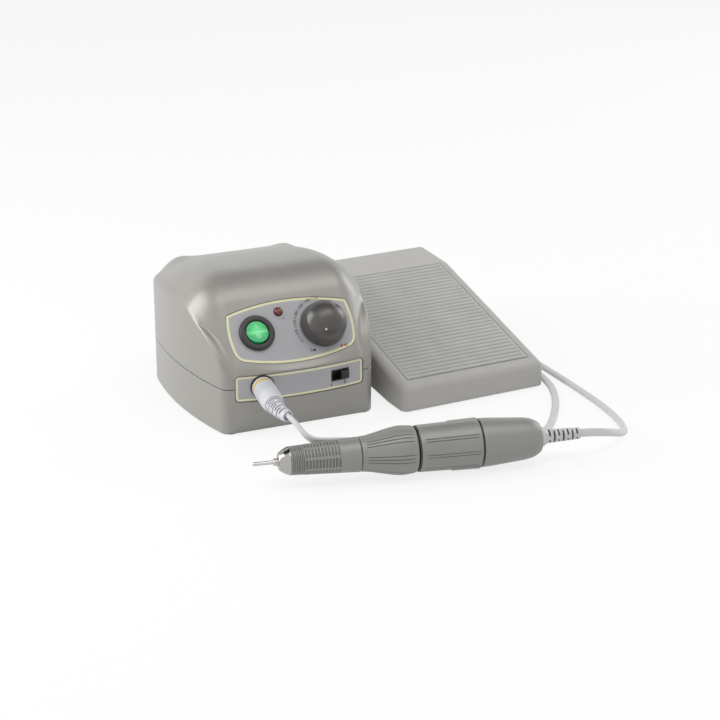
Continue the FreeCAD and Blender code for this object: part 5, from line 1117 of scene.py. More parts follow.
@dataclass
class ControlPanel:
    """The sloped panel: its film, its cream line, its plain marks, switch, lamp and knob."""

    face: float = -0.2
    line_wide: float = 1.7
    knob_at: tuple[float, float] = (20.7, 21.0)
    scale_radius: float = 18.0
    scale_start: float = 208.0
    scale_step: float = 20.0
    scale_numbers: int = 7
    stop_radius: float = 0.85

    def outline(self, grow: float = 0.0) -> Array:
        """The panel's outline: four arcs with rounded corners."""
        discs = [
            (0.0, 128.0, 128.3 + grow), (-16.15, 22.0, 57.75 + grow),
            (0.0, -107.2, 148.2 + grow), (16.15, 22.0, 57.75 + grow),
        ]
        return disc_outline(discs, [8.0 + grow, 1.5 + grow, 1.5 + grow, 8.0 + grow], 360)

    def build(self, tools: Toolbox) -> None:
        """Builds the panel and all that sits in it."""
        line = self.outline()
        film = slab("upper_panel_film", line, -0.8, self.face, on_place(PANEL))
        holes = panel_bores()
        cut_away(film, *holes)
        discard(*holes)
        tools.dress(film, PANEL_FILM, Body.ROOT, "panel_print", "upper_panel")
        trim = hoop("upper_panel_line", line, 0.05, self.line_wide, self.face - 0.1,
                    self.face + 0.05, on_place(PANEL))
        tools.dress(trim, BORDER, Body.ROOT, "panel_print")
        self.marks(tools)
        self.power_switch(tools)
        self.lamp(tools)
        self.knob(tools)

    def on_scale(self, turn: float) -> Place:
        """A frame on the panel's face, at an angle round the knob."""
        a = math.radians(turn)
        return PANEL.at(self.knob_at[0] + self.scale_radius * math.cos(a),
                        self.knob_at[1] + self.scale_radius * math.sin(a), self.face)

    def marks(self, tools: Toolbox) -> None:
        """Plain numbers and ticks round the knob, and the two stops' dots."""
        face = PANEL.at(0, 0, self.face)
        last = self.scale_numbers - 1
        for index in range(self.scale_numbers):
            turn = self.scale_start - self.scale_step * index
            number = lettering(f"scale_number_{index}", str(5 + 5 * index), 1.9,
                               self.on_scale(turn), turn=turn - 90)
            tools.dress(number, INK, Body.ROOT, "panel_print")
            for part in range(1, 4) if index < last else ():
                at = turn - self.scale_step / 4 * part
                tick = slab(f"scale_tick_{index}_{part}", turned_bar(0.9, 0.16, at),
                            0.0, 0.06, on_place(self.on_scale(at)), 0.02)
                tools.dress(tick, INK, Body.ROOT, "panel_print")
        radius = self.stop_radius
        for name, x, y, finish, text, shift in (("low", 11.5, 5.5, INK, "0", -2.1),
                                                ("high", 29.9, 5.6, RED_INK, "40", 2.9)):
            dot = lathe(f"{name}_stop_dot", face.at(x, y), [(0.0, 0.0), (0.0, radius),
                        (0.06, radius), (0.06, 0.0)], 2, 40, 0.01)
            tools.dress(dot, finish, Body.ROOT, "panel_print")
            number = lettering(f"{name}_stop_number", text, 2.0, face.at(x + shift, y))
            tools.dress(number, INK, Body.ROOT, "panel_print")
        bar = lettering("lamp_mark", "-  +", 2.0, face.at(-4.6, 28.6))
        tools.dress(bar, INK, Body.ROOT, "panel_print")

    def power_switch(self, tools: Toolbox) -> None:
        """The round bezel, and the two-sided green rocker in it with its I and O."""
        bezel = lathe("switch_bezel", SWITCH, [
            (-16.0, 0.0), (-16.0, 9.9), (self.face, 9.9), (self.face, 11.4), (1.4, 11.4),
            (2.3, 11.0), (2.6, 10.2), (2.6, 8.2), (2.0, 7.6), (-6.0, 7.6), (-6.0, 0.0),
        ], 2, 128, 0.35)
        tools.dress(bezel, BEZEL, Body.ROOT, "black_plastic", "power_switch_bezel")
        pivot = SWITCH.at(0, 0, 1.0).tipped(-9.0)
        angle = np.linspace(0, TURN, 128, endpoint=False)
        rings = []
        for radius, z in ((3.0, -2.2), (6.6, -2.2), (6.9, -1.9), (7.2, -0.6), (7.25, 0.4)):
            rings.append(np.stack([radius * np.cos(angle), radius * np.sin(angle),
                                   np.full_like(angle, z)], -1))
        for radius in (7.2, 7.12, 6.95, 6.7, 6.2, 5.4, 4.4, 3.4, 2.4, 1.4, 0.7, 0.3):
            x, y = radius * np.cos(angle), radius * np.sin(angle)
            edge = 0.5 * (1 - math.sqrt(max(1 - (max(radius - 6.7, 0) / 0.52) ** 2, 0)))
            z = 0.8 + math.tan(math.radians(9)) * np.sqrt(y ** 2 + 1.0) - edge
            rings.append(np.stack([x, y, z], -1))
        rocker = ring_mesh("rocker_lens", pivot.world(np.stack(rings)), math.radians(60))
        tools.dress(rocker, ROCKER_LENS, Body.ROCKER, "rocker_green", "power_rocker")
        upper, lower = pivot.at(0, 3.6, 1.45).tipped(9.0), pivot.at(0, -3.1, 1.36).tipped(-9.0)
        bar = slab("rocker_bar_mark", rounded_box(0.28, 1.5, 0.2, 48), 0.0, 0.07,
                   on_place(upper), 0.02)
        tools.dress(bar, WHITE_INK, Body.ROCKER, "rocker_green")
        circle = rounded_box(1.25, 1.5, 1.24, 64)
        ring = hoop("rocker_ring_mark", circle, 0.0, 0.42, 0.0, 0.08, on_place(lower))
        tools.dress(ring, WHITE_INK, Body.ROCKER, "rocker_green")

    def lamp(self, tools: Toolbox) -> None:
        """The domed red lamp with its flange, and its collar on the panel."""
        angle = np.linspace(0, math.pi / 2, 12)
        dome = [(-0.1 + 2.7 * math.sin(a), 2.7 * math.cos(a)) for a in angle]
        lens = lathe("lamp_lens", LAMP, [(-3.8, 0.0), (-3.8, 3.3), (-2.8, 3.3), (-2.8, 2.7)]
                     + dome, 2, 64, 0.08)
        tools.dress(lens, LAMP_LENS, Body.ROOT, "lamp_red", "indicator_lamp")
        collar = lathe("lamp_collar", LAMP, [(self.face, 2.7), (self.face, 3.05), (0.1, 3.05),
                       (0.25, 2.72), (self.face, 2.7)], 2, 64, 0.05)
        tools.dress(collar, LAMP_COLLAR, Body.ROOT, "lamp_red")

    def knob(self, tools: Toolbox) -> None:
        """The domed speed knob with its finger dimple, and its pointer dot.

        Points of the turned dome that lie inside the dimple's ball are pushed out to its skin.
        """
        foot, waist, shoulder, crown = 14.8, 13.2, 9.5, 17.4
        dome = (waist ** 2 + (crown - shoulder) ** 2) / (2 * (crown - shoulder))
        middle = crown - dome
        fall = np.linspace(math.asin(waist / dome), 0.0, 40)
        profile = [(3.4, 0.0), (3.4, 6.8), (0.8, 6.8), (0.8, foot)]
        profile += [(0.8 + (shoulder - 0.8) * s, foot + (waist - foot) * s)
                    for s in np.linspace(0.1, 0.92, 8)]
        profile += [(middle + dome * math.cos(a), dome * math.sin(a)) for a in fall]
        line = rounded(profile, 0.7)
        angle = np.linspace(0, TURN, 256, endpoint=False)
        reach = np.maximum(line[:, 1], 0.0005)[:, None]
        points = np.stack([reach * np.cos(angle), reach * np.sin(angle),
                           line[:, 0][:, None] * np.ones_like(angle)], -1)
        turn = math.radians(42.0)
        ball = np.array([16.1 * math.sin(turn), 16.1 * math.cos(turn), 15.8])
        away = points - ball
        far = np.linalg.norm(away, axis=-1, keepdims=True)
        pushed = higher_of(far, np.full_like(far, 7.5), 0.7)
        shaped = np.where(points[..., 2:] > 3.5, ball + away * pushed / far, points)
        knob = ring_mesh("speed_knob_cap", KNOB.world(shaped), math.radians(50))
        tools.dress(knob, KNOB_SATIN, Body.KNOB, "knob_grey", "speed_knob")
        lean, spin = math.radians(35.5), math.radians(208.0)
        reach = dome - 0.5
        at = KNOB.at(reach * math.sin(lean) * math.sin(spin),
                     reach * math.sin(lean) * math.cos(spin), middle + reach * math.cos(lean))
        bend = np.linspace(0, math.pi, 24)
        dot = lathe("pointer_dot", at, [(-0.9 * math.cos(a), 0.9 * math.sin(a)) for a in bend],
                    2, 40, 0.01)
        tools.dress(dot, KNOB_DOT, Body.KNOB, "knob_dot", "knob_pointer_dot")


def turned_bar(half_long: float, half_wide: float, degrees: float) -> Array:
    """The outline of a small bar, turned in its plane."""
    line = rounded_box(half_long, half_wide, half_wide * 0.9, 24)
    c, s = math.cos(math.radians(degrees)), math.sin(math.radians(degrees))
    return line @ np.array([[c, s], [-s, c]])


@dataclass
class FrontPanel:
    """The bowed front panel with the motor socket and the direction switch."""

    height: float = 30.1
    face: float = -0.4
    half: float = 42.7
    half_tall: float = 8.3
    corner: float = 2.5
    travel: float = 5.4

    def build(self, tools: Toolbox) -> None:
        """Builds the panel, the socket and the switch."""
        line = rounded_box(self.half, self.half_tall, self.corner, 400)
        line = resampled(line, 400)
        plate = slab("front_panel_film", line, -1.0, self.face, on_bow)
        holes = [bore(SOCKET, SOCKET_BORE, 0, -9.0, 6.0), switch_hole()]
        cut_away(plate, *holes)
        discard(*holes)
        tools.dress(plate, PANEL_FILM, Body.ROOT, "panel_print", "lower_panel")
        trim = hoop("front_panel_line", line, 0.35, 1.65, self.face - 0.1, self.face + 0.05,
                    on_bow)
        tools.dress(trim, BORDER, Body.ROOT, "panel_print")
        socket = lathe("motor_socket_ring", SOCKET, [
            (-13.0, 0.0), (-13.0, 7.0), (self.face, 7.0), (self.face, 7.7), (0.2, 7.7),
            (0.5, 7.5), (0.5, 6.3), (-9.0, 6.3), (-9.0, 0.0)], 0, 96, 0.2)
        tools.dress(socket, BEZEL, Body.ROOT, "black_plastic", "motor_socket")
        self.direction(tools)

    def direction(self, tools: Toolbox) -> None:
        """The slide switch: a sunk track in a black frame, and a slider with a grip rib."""
        deep, half_y, half_z = 4.5, 6.3, 3.7
        outer = rounded_box(half_y, half_z, 0.4, 96)
        inner = rounded_box(5.8, 2.9, 0.25, 96)
        front = self.face + 0.3

        def set_in(line: Array, x: float) -> Array:
            """Switch points (across, up) at a distance out of the front."""
            return SLIDE.world(np.column_stack([np.full(len(line), x), line]))

        rings = [set_in(outer * 0.5, -9.0), set_in(outer, -9.0), set_in(outer, front - 0.2),
                 set_in(outer * 0.97, front), set_in(inner * 1.03, front),
                 set_in(inner, front - 0.2), set_in(inner, front - deep),
                 set_in(inner * 0.5, front - deep)]
        case = ring_mesh("direction_switch_case", np.stack(rings))
        tools.dress(case, BLACK, Body.ROOT, "black_plastic", "direction_switch")
        knob = rounded_box(2.8, 2.6, 0.35, 96)
        shift = np.array([self.travel / 2, 0.0])
        rings = [set_in(knob * 0.5 + shift, front - 4.0), set_in(knob + shift, front - 4.0),
                 set_in(knob + shift, front + 1.6), set_in(knob * 0.93 + shift, front + 1.9),
                 set_in(knob * (0.5, 0.9) + shift, front + 1.9),
                 set_in(knob * (0.42, 0.88) + shift, front + 2.4),
                 set_in(knob * (0.2, 0.7) + shift, front + 2.4)]
        slider = ring_mesh("direction_slider_cap", np.stack(rings))
        tools.dress(slider, BLACK, Body.SLIDER, "black_plastic", "direction_slider")
        for name, text, across in (("left", "L", -6.2), ("right", "R", 3.6)):
            degrees = 7.73 + math.degrees(across / FRONT_RADIUS)
            here = on_front(degrees, 24.9)
            out, side, up = here.axes
            flat = Place(here.origin + out * self.face, np.array([side, up, out]))
            mark = lettering(f"direction_{name}", text, 2.0, flat)
            tools.dress(mark, INK, Body.ROOT, "panel_print")


@dataclass
class MotorPlug:
    """The round plug of the motor cord, with its yellow band and slotted strain relief."""

    radius: float = 7.0
    end: float = 31.0
    tail: float = 6.0
    relief_long: float = 20.0
    relief_bend: float = 20.0
    relief_radius: float = 5.3
    relief_end: float = 3.6
    slots: int = 7
    band_from: float = 50.0
    band_to: float = 185.0

    def build(self, tools: Toolbox) -> None:
        """Builds the plug, its band and its strain relief."""
        profile = [(-6.6, 0.0), (-6.6, 6.25), (0.9, 6.25), (0.9, 6.7), (1.3, 7.0), (3.7, 7.0),
                   (3.7, 6.75), (6.3, 6.75), (6.3, 7.0)]
        for index in range(6):
            ring = 7.9 + 1.9 * index
            profile += [(ring, 7.0), (ring + 0.25, 6.4), (ring + 0.75, 6.4), (ring + 1.0, 7.0)]
        profile += [(20.5, 7.0), (24.5, 6.9), (self.end, self.tail), (self.end, 4.0),
                    (self.end - 5, 3.95), (self.end - 5, 0.0)]
        plug = lathe("motor_plug_shell", SOCKET, profile, 0, 128, 0.1, 3.0)
        tools.dress(plug, PLUG_PALE, Body.ROOT, "plug_white", "motor_plug")
        tools.dress(self.band(), PLUG_YELLOW, Body.ROOT, "plug_band", "plug_band")
        relief = self.relief()
        tools.dress(relief, PLUG_PALE, Body.ROOT, "plug_white", "plug_strain_relief")

    def band(self) -> bpy.types.Object:
        """The yellow mark: a strip along part of the plug's shallow groove."""
        turn = np.radians(np.linspace(self.band_from, self.band_to, 60))
        section = np.array([(3.75, 6.6), (6.25, 6.6), (6.25, 6.95), (6.15, 7.03), (3.85, 7.03),
                            (3.75, 6.95)])
        far, radius = section[None, :, 0], section[None, :, 1]
        rings = np.stack([far + 0 * turn[:, None], radius * np.cos(turn)[:, None],
                          radius * np.sin(turn)[:, None]], -1)
        return ring_mesh("plug_yellow_band", SOCKET.world(rings))

    def relief(self) -> bpy.types.Object:
        """The strain relief: rings along an arc, their radius drawn in at the slots.

        Slots alternate between the relief's two sides, so each is a share of the turn deep.
        """
        share = np.linspace(0, 1, 150)
        bend = math.radians(self.relief_bend)
        arc = self.relief_long / bend
        turn = bend * share
        middle = np.stack([self.end + arc * np.sin(turn), arc * (1 - np.cos(turn)),
                           np.zeros_like(turn)], -1)
        side = np.stack([-np.sin(turn), np.cos(turn), np.zeros_like(turn)], -1)
        up = np.array([0.0, 0.0, 1.0])
        angle = np.linspace(0, TURN, 96, endpoint=False)
        radius = self.relief_radius + (self.relief_end - self.relief_radius) * share
        radius = radius * (1 - 0.25 * (1 - smooth_step(share, 0.0, 0.02)))
        dent = slot_relief(share[:, None] * self.relief_long, angle[None, :], 1.2, 2.35, 1.25,
                           self.slots, 1.2)
        reach = radius[:, None] - dent
        rings = (middle[:, None, :] + reach[..., None] * np.cos(angle)[None, :, None]
                 * side[:, None, :] + reach[..., None] * np.sin(angle)[None, :, None] * up)
        inner = np.stack([np.full_like(angle, self.end - 4.9), 3.9 * np.cos(angle),
                          3.9 * np.sin(angle)], -1)
        neck = np.stack([np.full_like(angle, self.end - 0.02), 3.9 * np.cos(angle),
                         3.9 * np.sin(angle)], -1)
        tip = middle[-1] + 0.72 * (rings[-1] - middle[-1])
        sunk = tip - np.array([math.cos(bend), math.sin(bend), 0.0]) * 1.5
        whole = np.concatenate([[inner, neck], rings, [tip, sunk]])
        # slot depth, the mask of the painted shade that darkens the slots
        deep = np.concatenate([np.zeros((2, 96)), dent / dent.max(), np.zeros((2, 96))])
        return ring_mesh("plug_relief_sleeve", SOCKET.world(whole), sunk=deep)


def slot_relief(far: Array, angle: Array, first: float, pitch: float, wide: float, count: int,
                deep: float) -> Array:
    """How far slots draw a sleeve in.

    Even slots cut the two sides, odd ones the top and bottom, each over a bit more than a
    quarter turn, and between them the sleeve is whole.

    Args:
        far: distance along the sleeve.
        angle: angle round it.
        first: where the first slot starts.
        pitch: from one slot to the next.
        wide: width of a slot.
        count: how many slots.
        deep: depth of a slot.

    Returns:
        The depth at each point.
    """
    depth = np.zeros(np.broadcast(far, angle).shape)
    for index in range(count):
        start = first + pitch * index
        here = between(far, start, start + wide, 0.18)
        swing = np.abs(np.cos(angle) if index % 2 else np.sin(angle))
        depth = depth + deep * here * smooth_step(swing, 0.25, 0.4)
    return depth


# Handpiece


@dataclass
class Handpiece:
    """The straight handpiece on its axis, from the tip of the shank to the strain relief."""

    bore: float = 7.45
    grip_start: float = 23.6
    grip_end: float = 65.0
    grip_radii: tuple[float, float] = (8.55, 10.45)
    sleeve_lines: int = 7
    case_lines: int = 9

    def build(self, tools: Toolbox) -> None:
        """Builds all that shows of the handpiece."""
        self.tool(tools)
        self.grip(tools)
        self.sleeve(tools)
        self.case(tools)
        self.cap(tools)

    def tool(self, tools: Toolbox) -> None:
        """The bare shank, the collet with its three slits, and the polished nose cone."""
        shank = lathe("tool_shank", HAND, [(1.8, 0.0), (1.8, 0.7), (2.15, 1.05), (2.7, 1.175),
                      (13.0, 1.175), (44.0, 1.175), (44.0, 0.0)], 0, 48, 0.15)
        tools.dress(shank, TOOL_STEEL, Body.ROTOR, "tool_steel", "mandrel")

        def slits(far: Array, angle: Array) -> Array:
            """Three slits in the collet's nose."""
            near = smooth_step(far, 13.9, 14.1) - smooth_step(far, 30.0, 31.0)
            return -0.7 * near * smooth_step(np.cos(3 * angle), 0.93, 0.98)

        collet = lathe("collet_sleeve", HAND, [
            (13.9, 1.225), (13.9, 1.75), (14.4, 2.2), (15.3, 2.35), (15.6, 1.95), (15.9, 2.35),
            (41.0, 2.35), (41.0, 1.225), (13.9, 1.225)], 0, 144, 0.1, 1.0, slits)
        tools.dress(collet, TOOL_STEEL, Body.ROTOR, "tool_steel", "collet")
        nose = lathe("nose_cone_shell", HAND, [
            (16.8, 2.7), (16.8, 4.7), (17.6, 5.5), (20.0, 7.1), (22.2, 8.2), (23.0, 8.55),
            (23.5, 8.5), (23.5, 6.25), (31.5, 6.25), (31.5, 2.7), (16.8, 2.7)],
            0, 128, 0.45, 2.0)
        tools.dress(nose, NOSE_STEEL, Body.ROOT, "nose_steel", "nose_cone")

    def grip(self, tools: Toolbox) -> None:
        """The front grip: fine rings at its nose, then short broad grooves in rows."""
        profile = [(self.grip_start, self.bore), (self.grip_start, self.grip_radii[0])]
        profile += [(self.grip_end, self.grip_radii[1]), (self.grip_end, self.bore),
                    (self.grip_start, self.bore)]

        def rows(far: Array, angle: Array) -> Array:
            """Seven fine rings, then broad grooves in eight fields that plain strips part."""
            depth = np.zeros_like(far)
            field_mask = smooth_step(np.abs(np.cos(4 * angle)), 0.28, 0.4)
            for index in range(7):
                start = 24.3 + 1.06 * index
                depth = depth - 0.4 * between(far, start, start + 0.65, 0.2)
            for index in range(11):
                start = 31.9 + 1.95 * index
                depth = depth - 0.5 * between(far, start, start + 1.25, 0.25) * field_mask
            return depth

        grip = lathe("front_grip_shell", HAND, profile, 0, 160, 0.1, 0.16, rows)
        tools.dress(grip, HAND_METAL, Body.ROOT, "hand_metal", "front_grip")

    def sleeve(self, tools: Toolbox) -> None:
        """The chuck sleeve, waisted at its front, with groups of three long lines."""

        def lines(far: Array, angle: Array) -> Array:
            """Groups of three grooves that fade out at both ends."""
            along = between(far, 68.0, 97.0, 1.0)
            return -0.4 * along * line_groups(angle, self.sleeve_lines, 3, 0.16, 0.022)

        sleeve = lathe("chuck_sleeve_shell", HAND, [
            (65.35, self.bore), (65.35, 10.45), (70.0, 10.75), (77.9, 12.5), (84.0, 13.9),
            (89.0, 14.65), (92.0, 14.7), (99.1, 13.95), (99.1, self.bore),
            (65.35, self.bore)], 0, 720, 1.6, 1.2, lines)
        tools.dress(sleeve, HAND_METAL, Body.SLEEVE, "hand_metal", "chuck_sleeve")
        ring = lathe("sleeve_seal", HAND, [(99.45, self.bore), (99.45, 13.6), (100.5, 13.6),
                     (100.5, self.bore), (99.45, self.bore)], 0, 96, 0.15)
        tools.dress(ring, RING_BLACK, Body.ROOT, "black_plastic", "sleeve_ring")

    def case(self, tools: Toolbox) -> None:
        """The motor case: pairs of long lines, and two raised lands at its rear."""

        def lines(far: Array, angle: Array) -> Array:
            """Pairs of grooves, and the lands' rise over the plain case."""
            along = between(far, 103.0, 136.3, 0.8)
            grooves = -0.35 * along * line_groups(angle, self.case_lines, 2, 0.12, 0.02)
            swing = np.abs(np.sin(angle - math.radians(68.5)))
            land = smooth_step(far, 119.6, 121.2) * (1 - smooth_step(swing, 0.38, 0.43))
            return grooves + 0.55 * land

        case = lathe("motor_case_shell", HAND, [
            (100.5, self.bore), (100.5, 14.0), (119.0, 14.38), (137.6, 14.75), (137.6, 12.9),
            (103.0, 12.9), (103.0, self.bore), (100.5, self.bore)], 0, 720, 0.35, 0.8, lines)
        tools.dress(case, HAND_METAL, Body.ROOT, "hand_metal", "motor_case")
        ring = lathe("case_seal", HAND, [(137.6, 11.9), (137.6, 14.35), (138.8, 14.35),
                     (138.8, 11.9), (137.6, 11.9)], 0, 96, 0.15)
        tools.dress(ring, RING_BLACK, Body.ROOT, "black_plastic", "case_ring")

    def cap(self, tools: Toolbox) -> None:
        """The smooth rear cap, and the pale strain relief with its collar and slots."""
        cap = lathe("rear_cap_shell", HAND, [
            (138.8, 12.9), (138.8, 14.75), (145.0, 14.45), (151.6, 13.9), (159.0, 13.3),
            (166.3, 12.75), (171.0, 11.9), (174.0, 10.5), (175.6, 9.5), (176.5, 8.6),
            (176.5, 4.45), (174.3, 4.45), (174.3, 7.6), (164.3, 11.4), (149.6, 12.9),
            (138.8, 12.9)], 0, 144, 1.5, 2.0)
        tools.dress(cap, HAND_METAL, Body.ROOT, "hand_metal", "rear_cap")

        def slots(far: Array, angle: Array) -> Array:
            """Seven slots, in turn on the sides and on the top and bottom."""
            return -slot_relief(far, angle, 181.6, 2.9, 1.1, 7, 1.0)

        sleeve = lathe("handpiece_relief_sleeve", HAND, [
            (172.3, 0.0), (172.3, 6.4), (174.3, 6.4), (174.3, 4.4), (176.5, 4.4),
            (176.5, 6.9), (177.2, 6.8), (178.5, 6.0), (181.2, 4.3), (201.8, 3.5),
            (201.8, 2.6), (200.3, 2.55), (200.3, 0.0)], 0, 128, 0.3, 0.2, slots)
        tools.dress(sleeve, RELIEF, Body.ROOT, "relief_grey", "handpiece_strain_relief")


def line_groups(angle: Array, groups: int, lines: int, pitch: float, wide: float) -> Array:
    """1 in narrow lines that run along a turned piece, in even groups round it.

    Args:
        angle: angle round the piece.
        groups: how many groups.
        lines: lines in each group.
        pitch: angle from one line to the next.
        wide: half width of a line, as an angle.

    Returns:
        The lines' mask.
    """
    part = TURN / groups
    within = np.mod(angle, part) - part / 2
    mask = np.zeros_like(within)
    for index in range(lines):
        off = np.abs(within - (index - (lines - 1) / 2) * pitch)
        mask = np.maximum(mask, 1 - smooth_step(off, wide * 0.5, wide * 1.2))
    return mask


# Cord


@dataclass
class MotorCord:
    """The flat twin cord from the handpiece, coiled behind the pedal, to the plug.

    Its section is in millimetres; its route and real length are in metres.
    """

    width: float = 5.0
    strand: float = 1.38
    section_points: int = 28
    low: float = 0.0015
    upper: float = 0.0046
    coil_at: tuple[float, float] = (0.074, 0.188)
    coil_outer: float = 0.034
    coil_pitch: float = 0.0056
    turn_points: int = 16
    real_length: float = 1.73

    def lead(self) -> list[tuple[float, float, float]]:
        """Points from the plug's strain relief to the coil, in metres."""
        z = self.low
        return [
            (-0.0790, -0.0935, 0.0223), (-0.0670, -0.0948, 0.0202), (-0.0490, -0.0945, 0.0176),
            (-0.0240, -0.0920, 0.0070), (0.0050, -0.0950, z), (0.0200, -0.0980, z),
            (0.0552, -0.1084, z), (0.0822, -0.0953, z), (0.1120, -0.0520, z),
            (0.1240, -0.0140, z), (0.1205, 0.0440, z), (0.1145, 0.1080, z),
            (0.1125, 0.1400, z), (0.1080, 0.1620, z), (0.1080, 0.1790, z),
        ]

    def tail(self) -> list[tuple[float, float, float]]:
        """Points from the coil to the handpiece's strain relief, in metres."""
        z = self.low
        return [
            (0.0920, 0.1512, self.upper), (0.1110, 0.1512, 0.0052), (0.1241, 0.1442, 0.0046),
            (0.1323, 0.1321, 0.0028), (0.1351, 0.1123, z), (0.1298, 0.0747, z),
            (0.1305, 0.0180, z), (0.1330, -0.0300, z), (0.1334, -0.0750, z),
            (0.1284, -0.1068, 0.0020), (0.1185, -0.1239, 0.0050), (0.1026, -0.1339, 0.0122),
        ]

    def coil(self) -> list[tuple[float, float, float]]:
        """Points of the coil: in on the lower layer, up in half a turn, and out again.

        The radius falls by a pitch a turn from its outer size, stays while the cord climbs,
        and grows by a pitch a turn again.
        """
        half = np.arange(0, 9.5 + 1e-6, 2 / self.turn_points)
        inward = self.coil_outer - self.coil_pitch / 2 * np.clip(half - 0.5, 0, 4)
        grown = self.coil_pitch / 2 * np.clip(half - 4.5, 0, 5)
        radius = (inward + grown) * 1.015
        z = self.low + (self.upper - self.low) * smooth_step(half, 4.0, 5.0)
        x = self.coil_at[0] + radius * np.cos(half * math.pi)
        y = self.coil_at[1] + radius * np.sin(half * math.pi)
        return [tuple(p) for p in np.stack([x, y, z], -1).tolist()]

    def leaving(self, place: Place, end: Array, aim: Array, seat: float, out: float
                ) -> list[tuple[float, float, float]]:
        """A point inside a strain relief's bore and one straight out of it, in metres."""
        points = place.world(np.stack([end - aim * seat, end + aim * out])) * MM
        return [tuple(p) for p in points.tolist()]

    def route(self) -> list[tuple[float, float, float]]:
        """All the cord's points, from the handpiece's strain relief to the plug's."""
        shell = MotorPlug()
        bend = math.radians(shell.relief_bend)
        arc = shell.relief_long / bend
        plug_end = np.array([shell.end + arc * math.sin(bend), arc * (1 - math.cos(bend)), 0.0])
        plug_aim = np.array([math.cos(bend), math.sin(bend), 0.0])
        plug = self.leaving(SOCKET, plug_end, plug_aim, 1.3, 5.5)
        hand = self.leaving(HAND, np.array([201.8, 0, 0]), np.array([1.0, 0, 0]), 1.3, 7.5)
        whole = plug + self.lead() + self.coil() + self.tail() + hand[::-1]
        return whole[::-1]

    def centre_line(self, points: Sequence[Sequence[float]]) -> Array:
        """The smooth line that the route's spline makes, as points in metres."""
        curve = bpy.data.curves.new("cord_line", "CURVE")
        curve.dimensions = "3D"
        spline = curve.splines.new("NURBS")
        spline.points.add(len(points) - 1)
        flat = np.column_stack([np.asarray(points), np.ones(len(points))])
        spline.points.foreach_set("co", flat.ravel())
        spline.order_u = 3
        spline.use_endpoint_u = True
        spline.resolution_u = 10
        holder = bpy.data.objects.new("cord_line", curve)
        bpy.context.collection.objects.link(holder)
        mesh = evaluated_mesh(holder)
        line = np.empty(len(mesh.vertices) * 3)
        mesh.vertices.foreach_get("co", line)
        discard(holder)
        bpy.data.meshes.remove(mesh)
        line = line.reshape(-1, 3)
        far = np.concatenate([[0.0], np.cumsum(np.linalg.norm(np.diff(line, axis=0), axis=1))])
        keep = np.concatenate([[True], np.diff(far) > 1e-6])
        far, line = far[keep], line[keep]
        even = np.linspace(0, far[-1], int(far[-1] / 0.0018))
        return np.stack([np.interp(even, far, line[:, k]) for k in range(3)], -1)

    def section(self) -> Array:
        """The twin cord's section: the hull of two round strands with a valley between them."""
        angle = np.linspace(0, TURN, self.section_points, endpoint=False)
        apart = self.width / 2 - self.strand
        x = np.sign(np.cos(angle)) * apart + self.strand * np.cos(angle)
        y = self.strand * np.sin(angle)
        valley = 0.45 * (1 - smooth_step(np.abs(x), 0.15, 1.0))
        return np.stack([x, y * (1 - valley)], -1)

    def build(self, tools: Toolbox) -> None:
        """Builds the cord: its section carried along its line, upright at both ends."""
        line = self.centre_line(self.route()) / MM
        ahead = np.gradient(line, axis=0)
        ahead /= np.linalg.norm(ahead, axis=1, keepdims=True)
        side = np.cross([0.0, 0.0, 1.0], ahead)
        side /= np.linalg.norm(side, axis=1, keepdims=True)
        up = np.cross(ahead, side)
        far = np.arange(len(line)) * np.linalg.norm(line[1] - line[0])
        whole = far[-1]
        near_end = np.maximum(1 - smooth_step(far, 15.0, 95.0),
                              smooth_step(far, whole - 125.0, whole - 45.0))
        roll = math.radians(62) * near_end[:, None]
        wide = np.cos(roll) * side + np.sin(roll) * up
        tall = -np.sin(roll) * side + np.cos(roll) * up
        section = self.section()
        rings = (line[:, None, :] + section[None, :, 0, None] * wide[:, None, :]
                 + section[None, :, 1, None] * tall[:, None, :])
        cord = ring_mesh("motor_cord", rings, math.radians(60))
        tools.dress(cord, CORD, Body.ROOT, "cord_grey", "motor_cord_lead", "motor_cord_coil",
                    "motor_cord_tail")


# Pedal


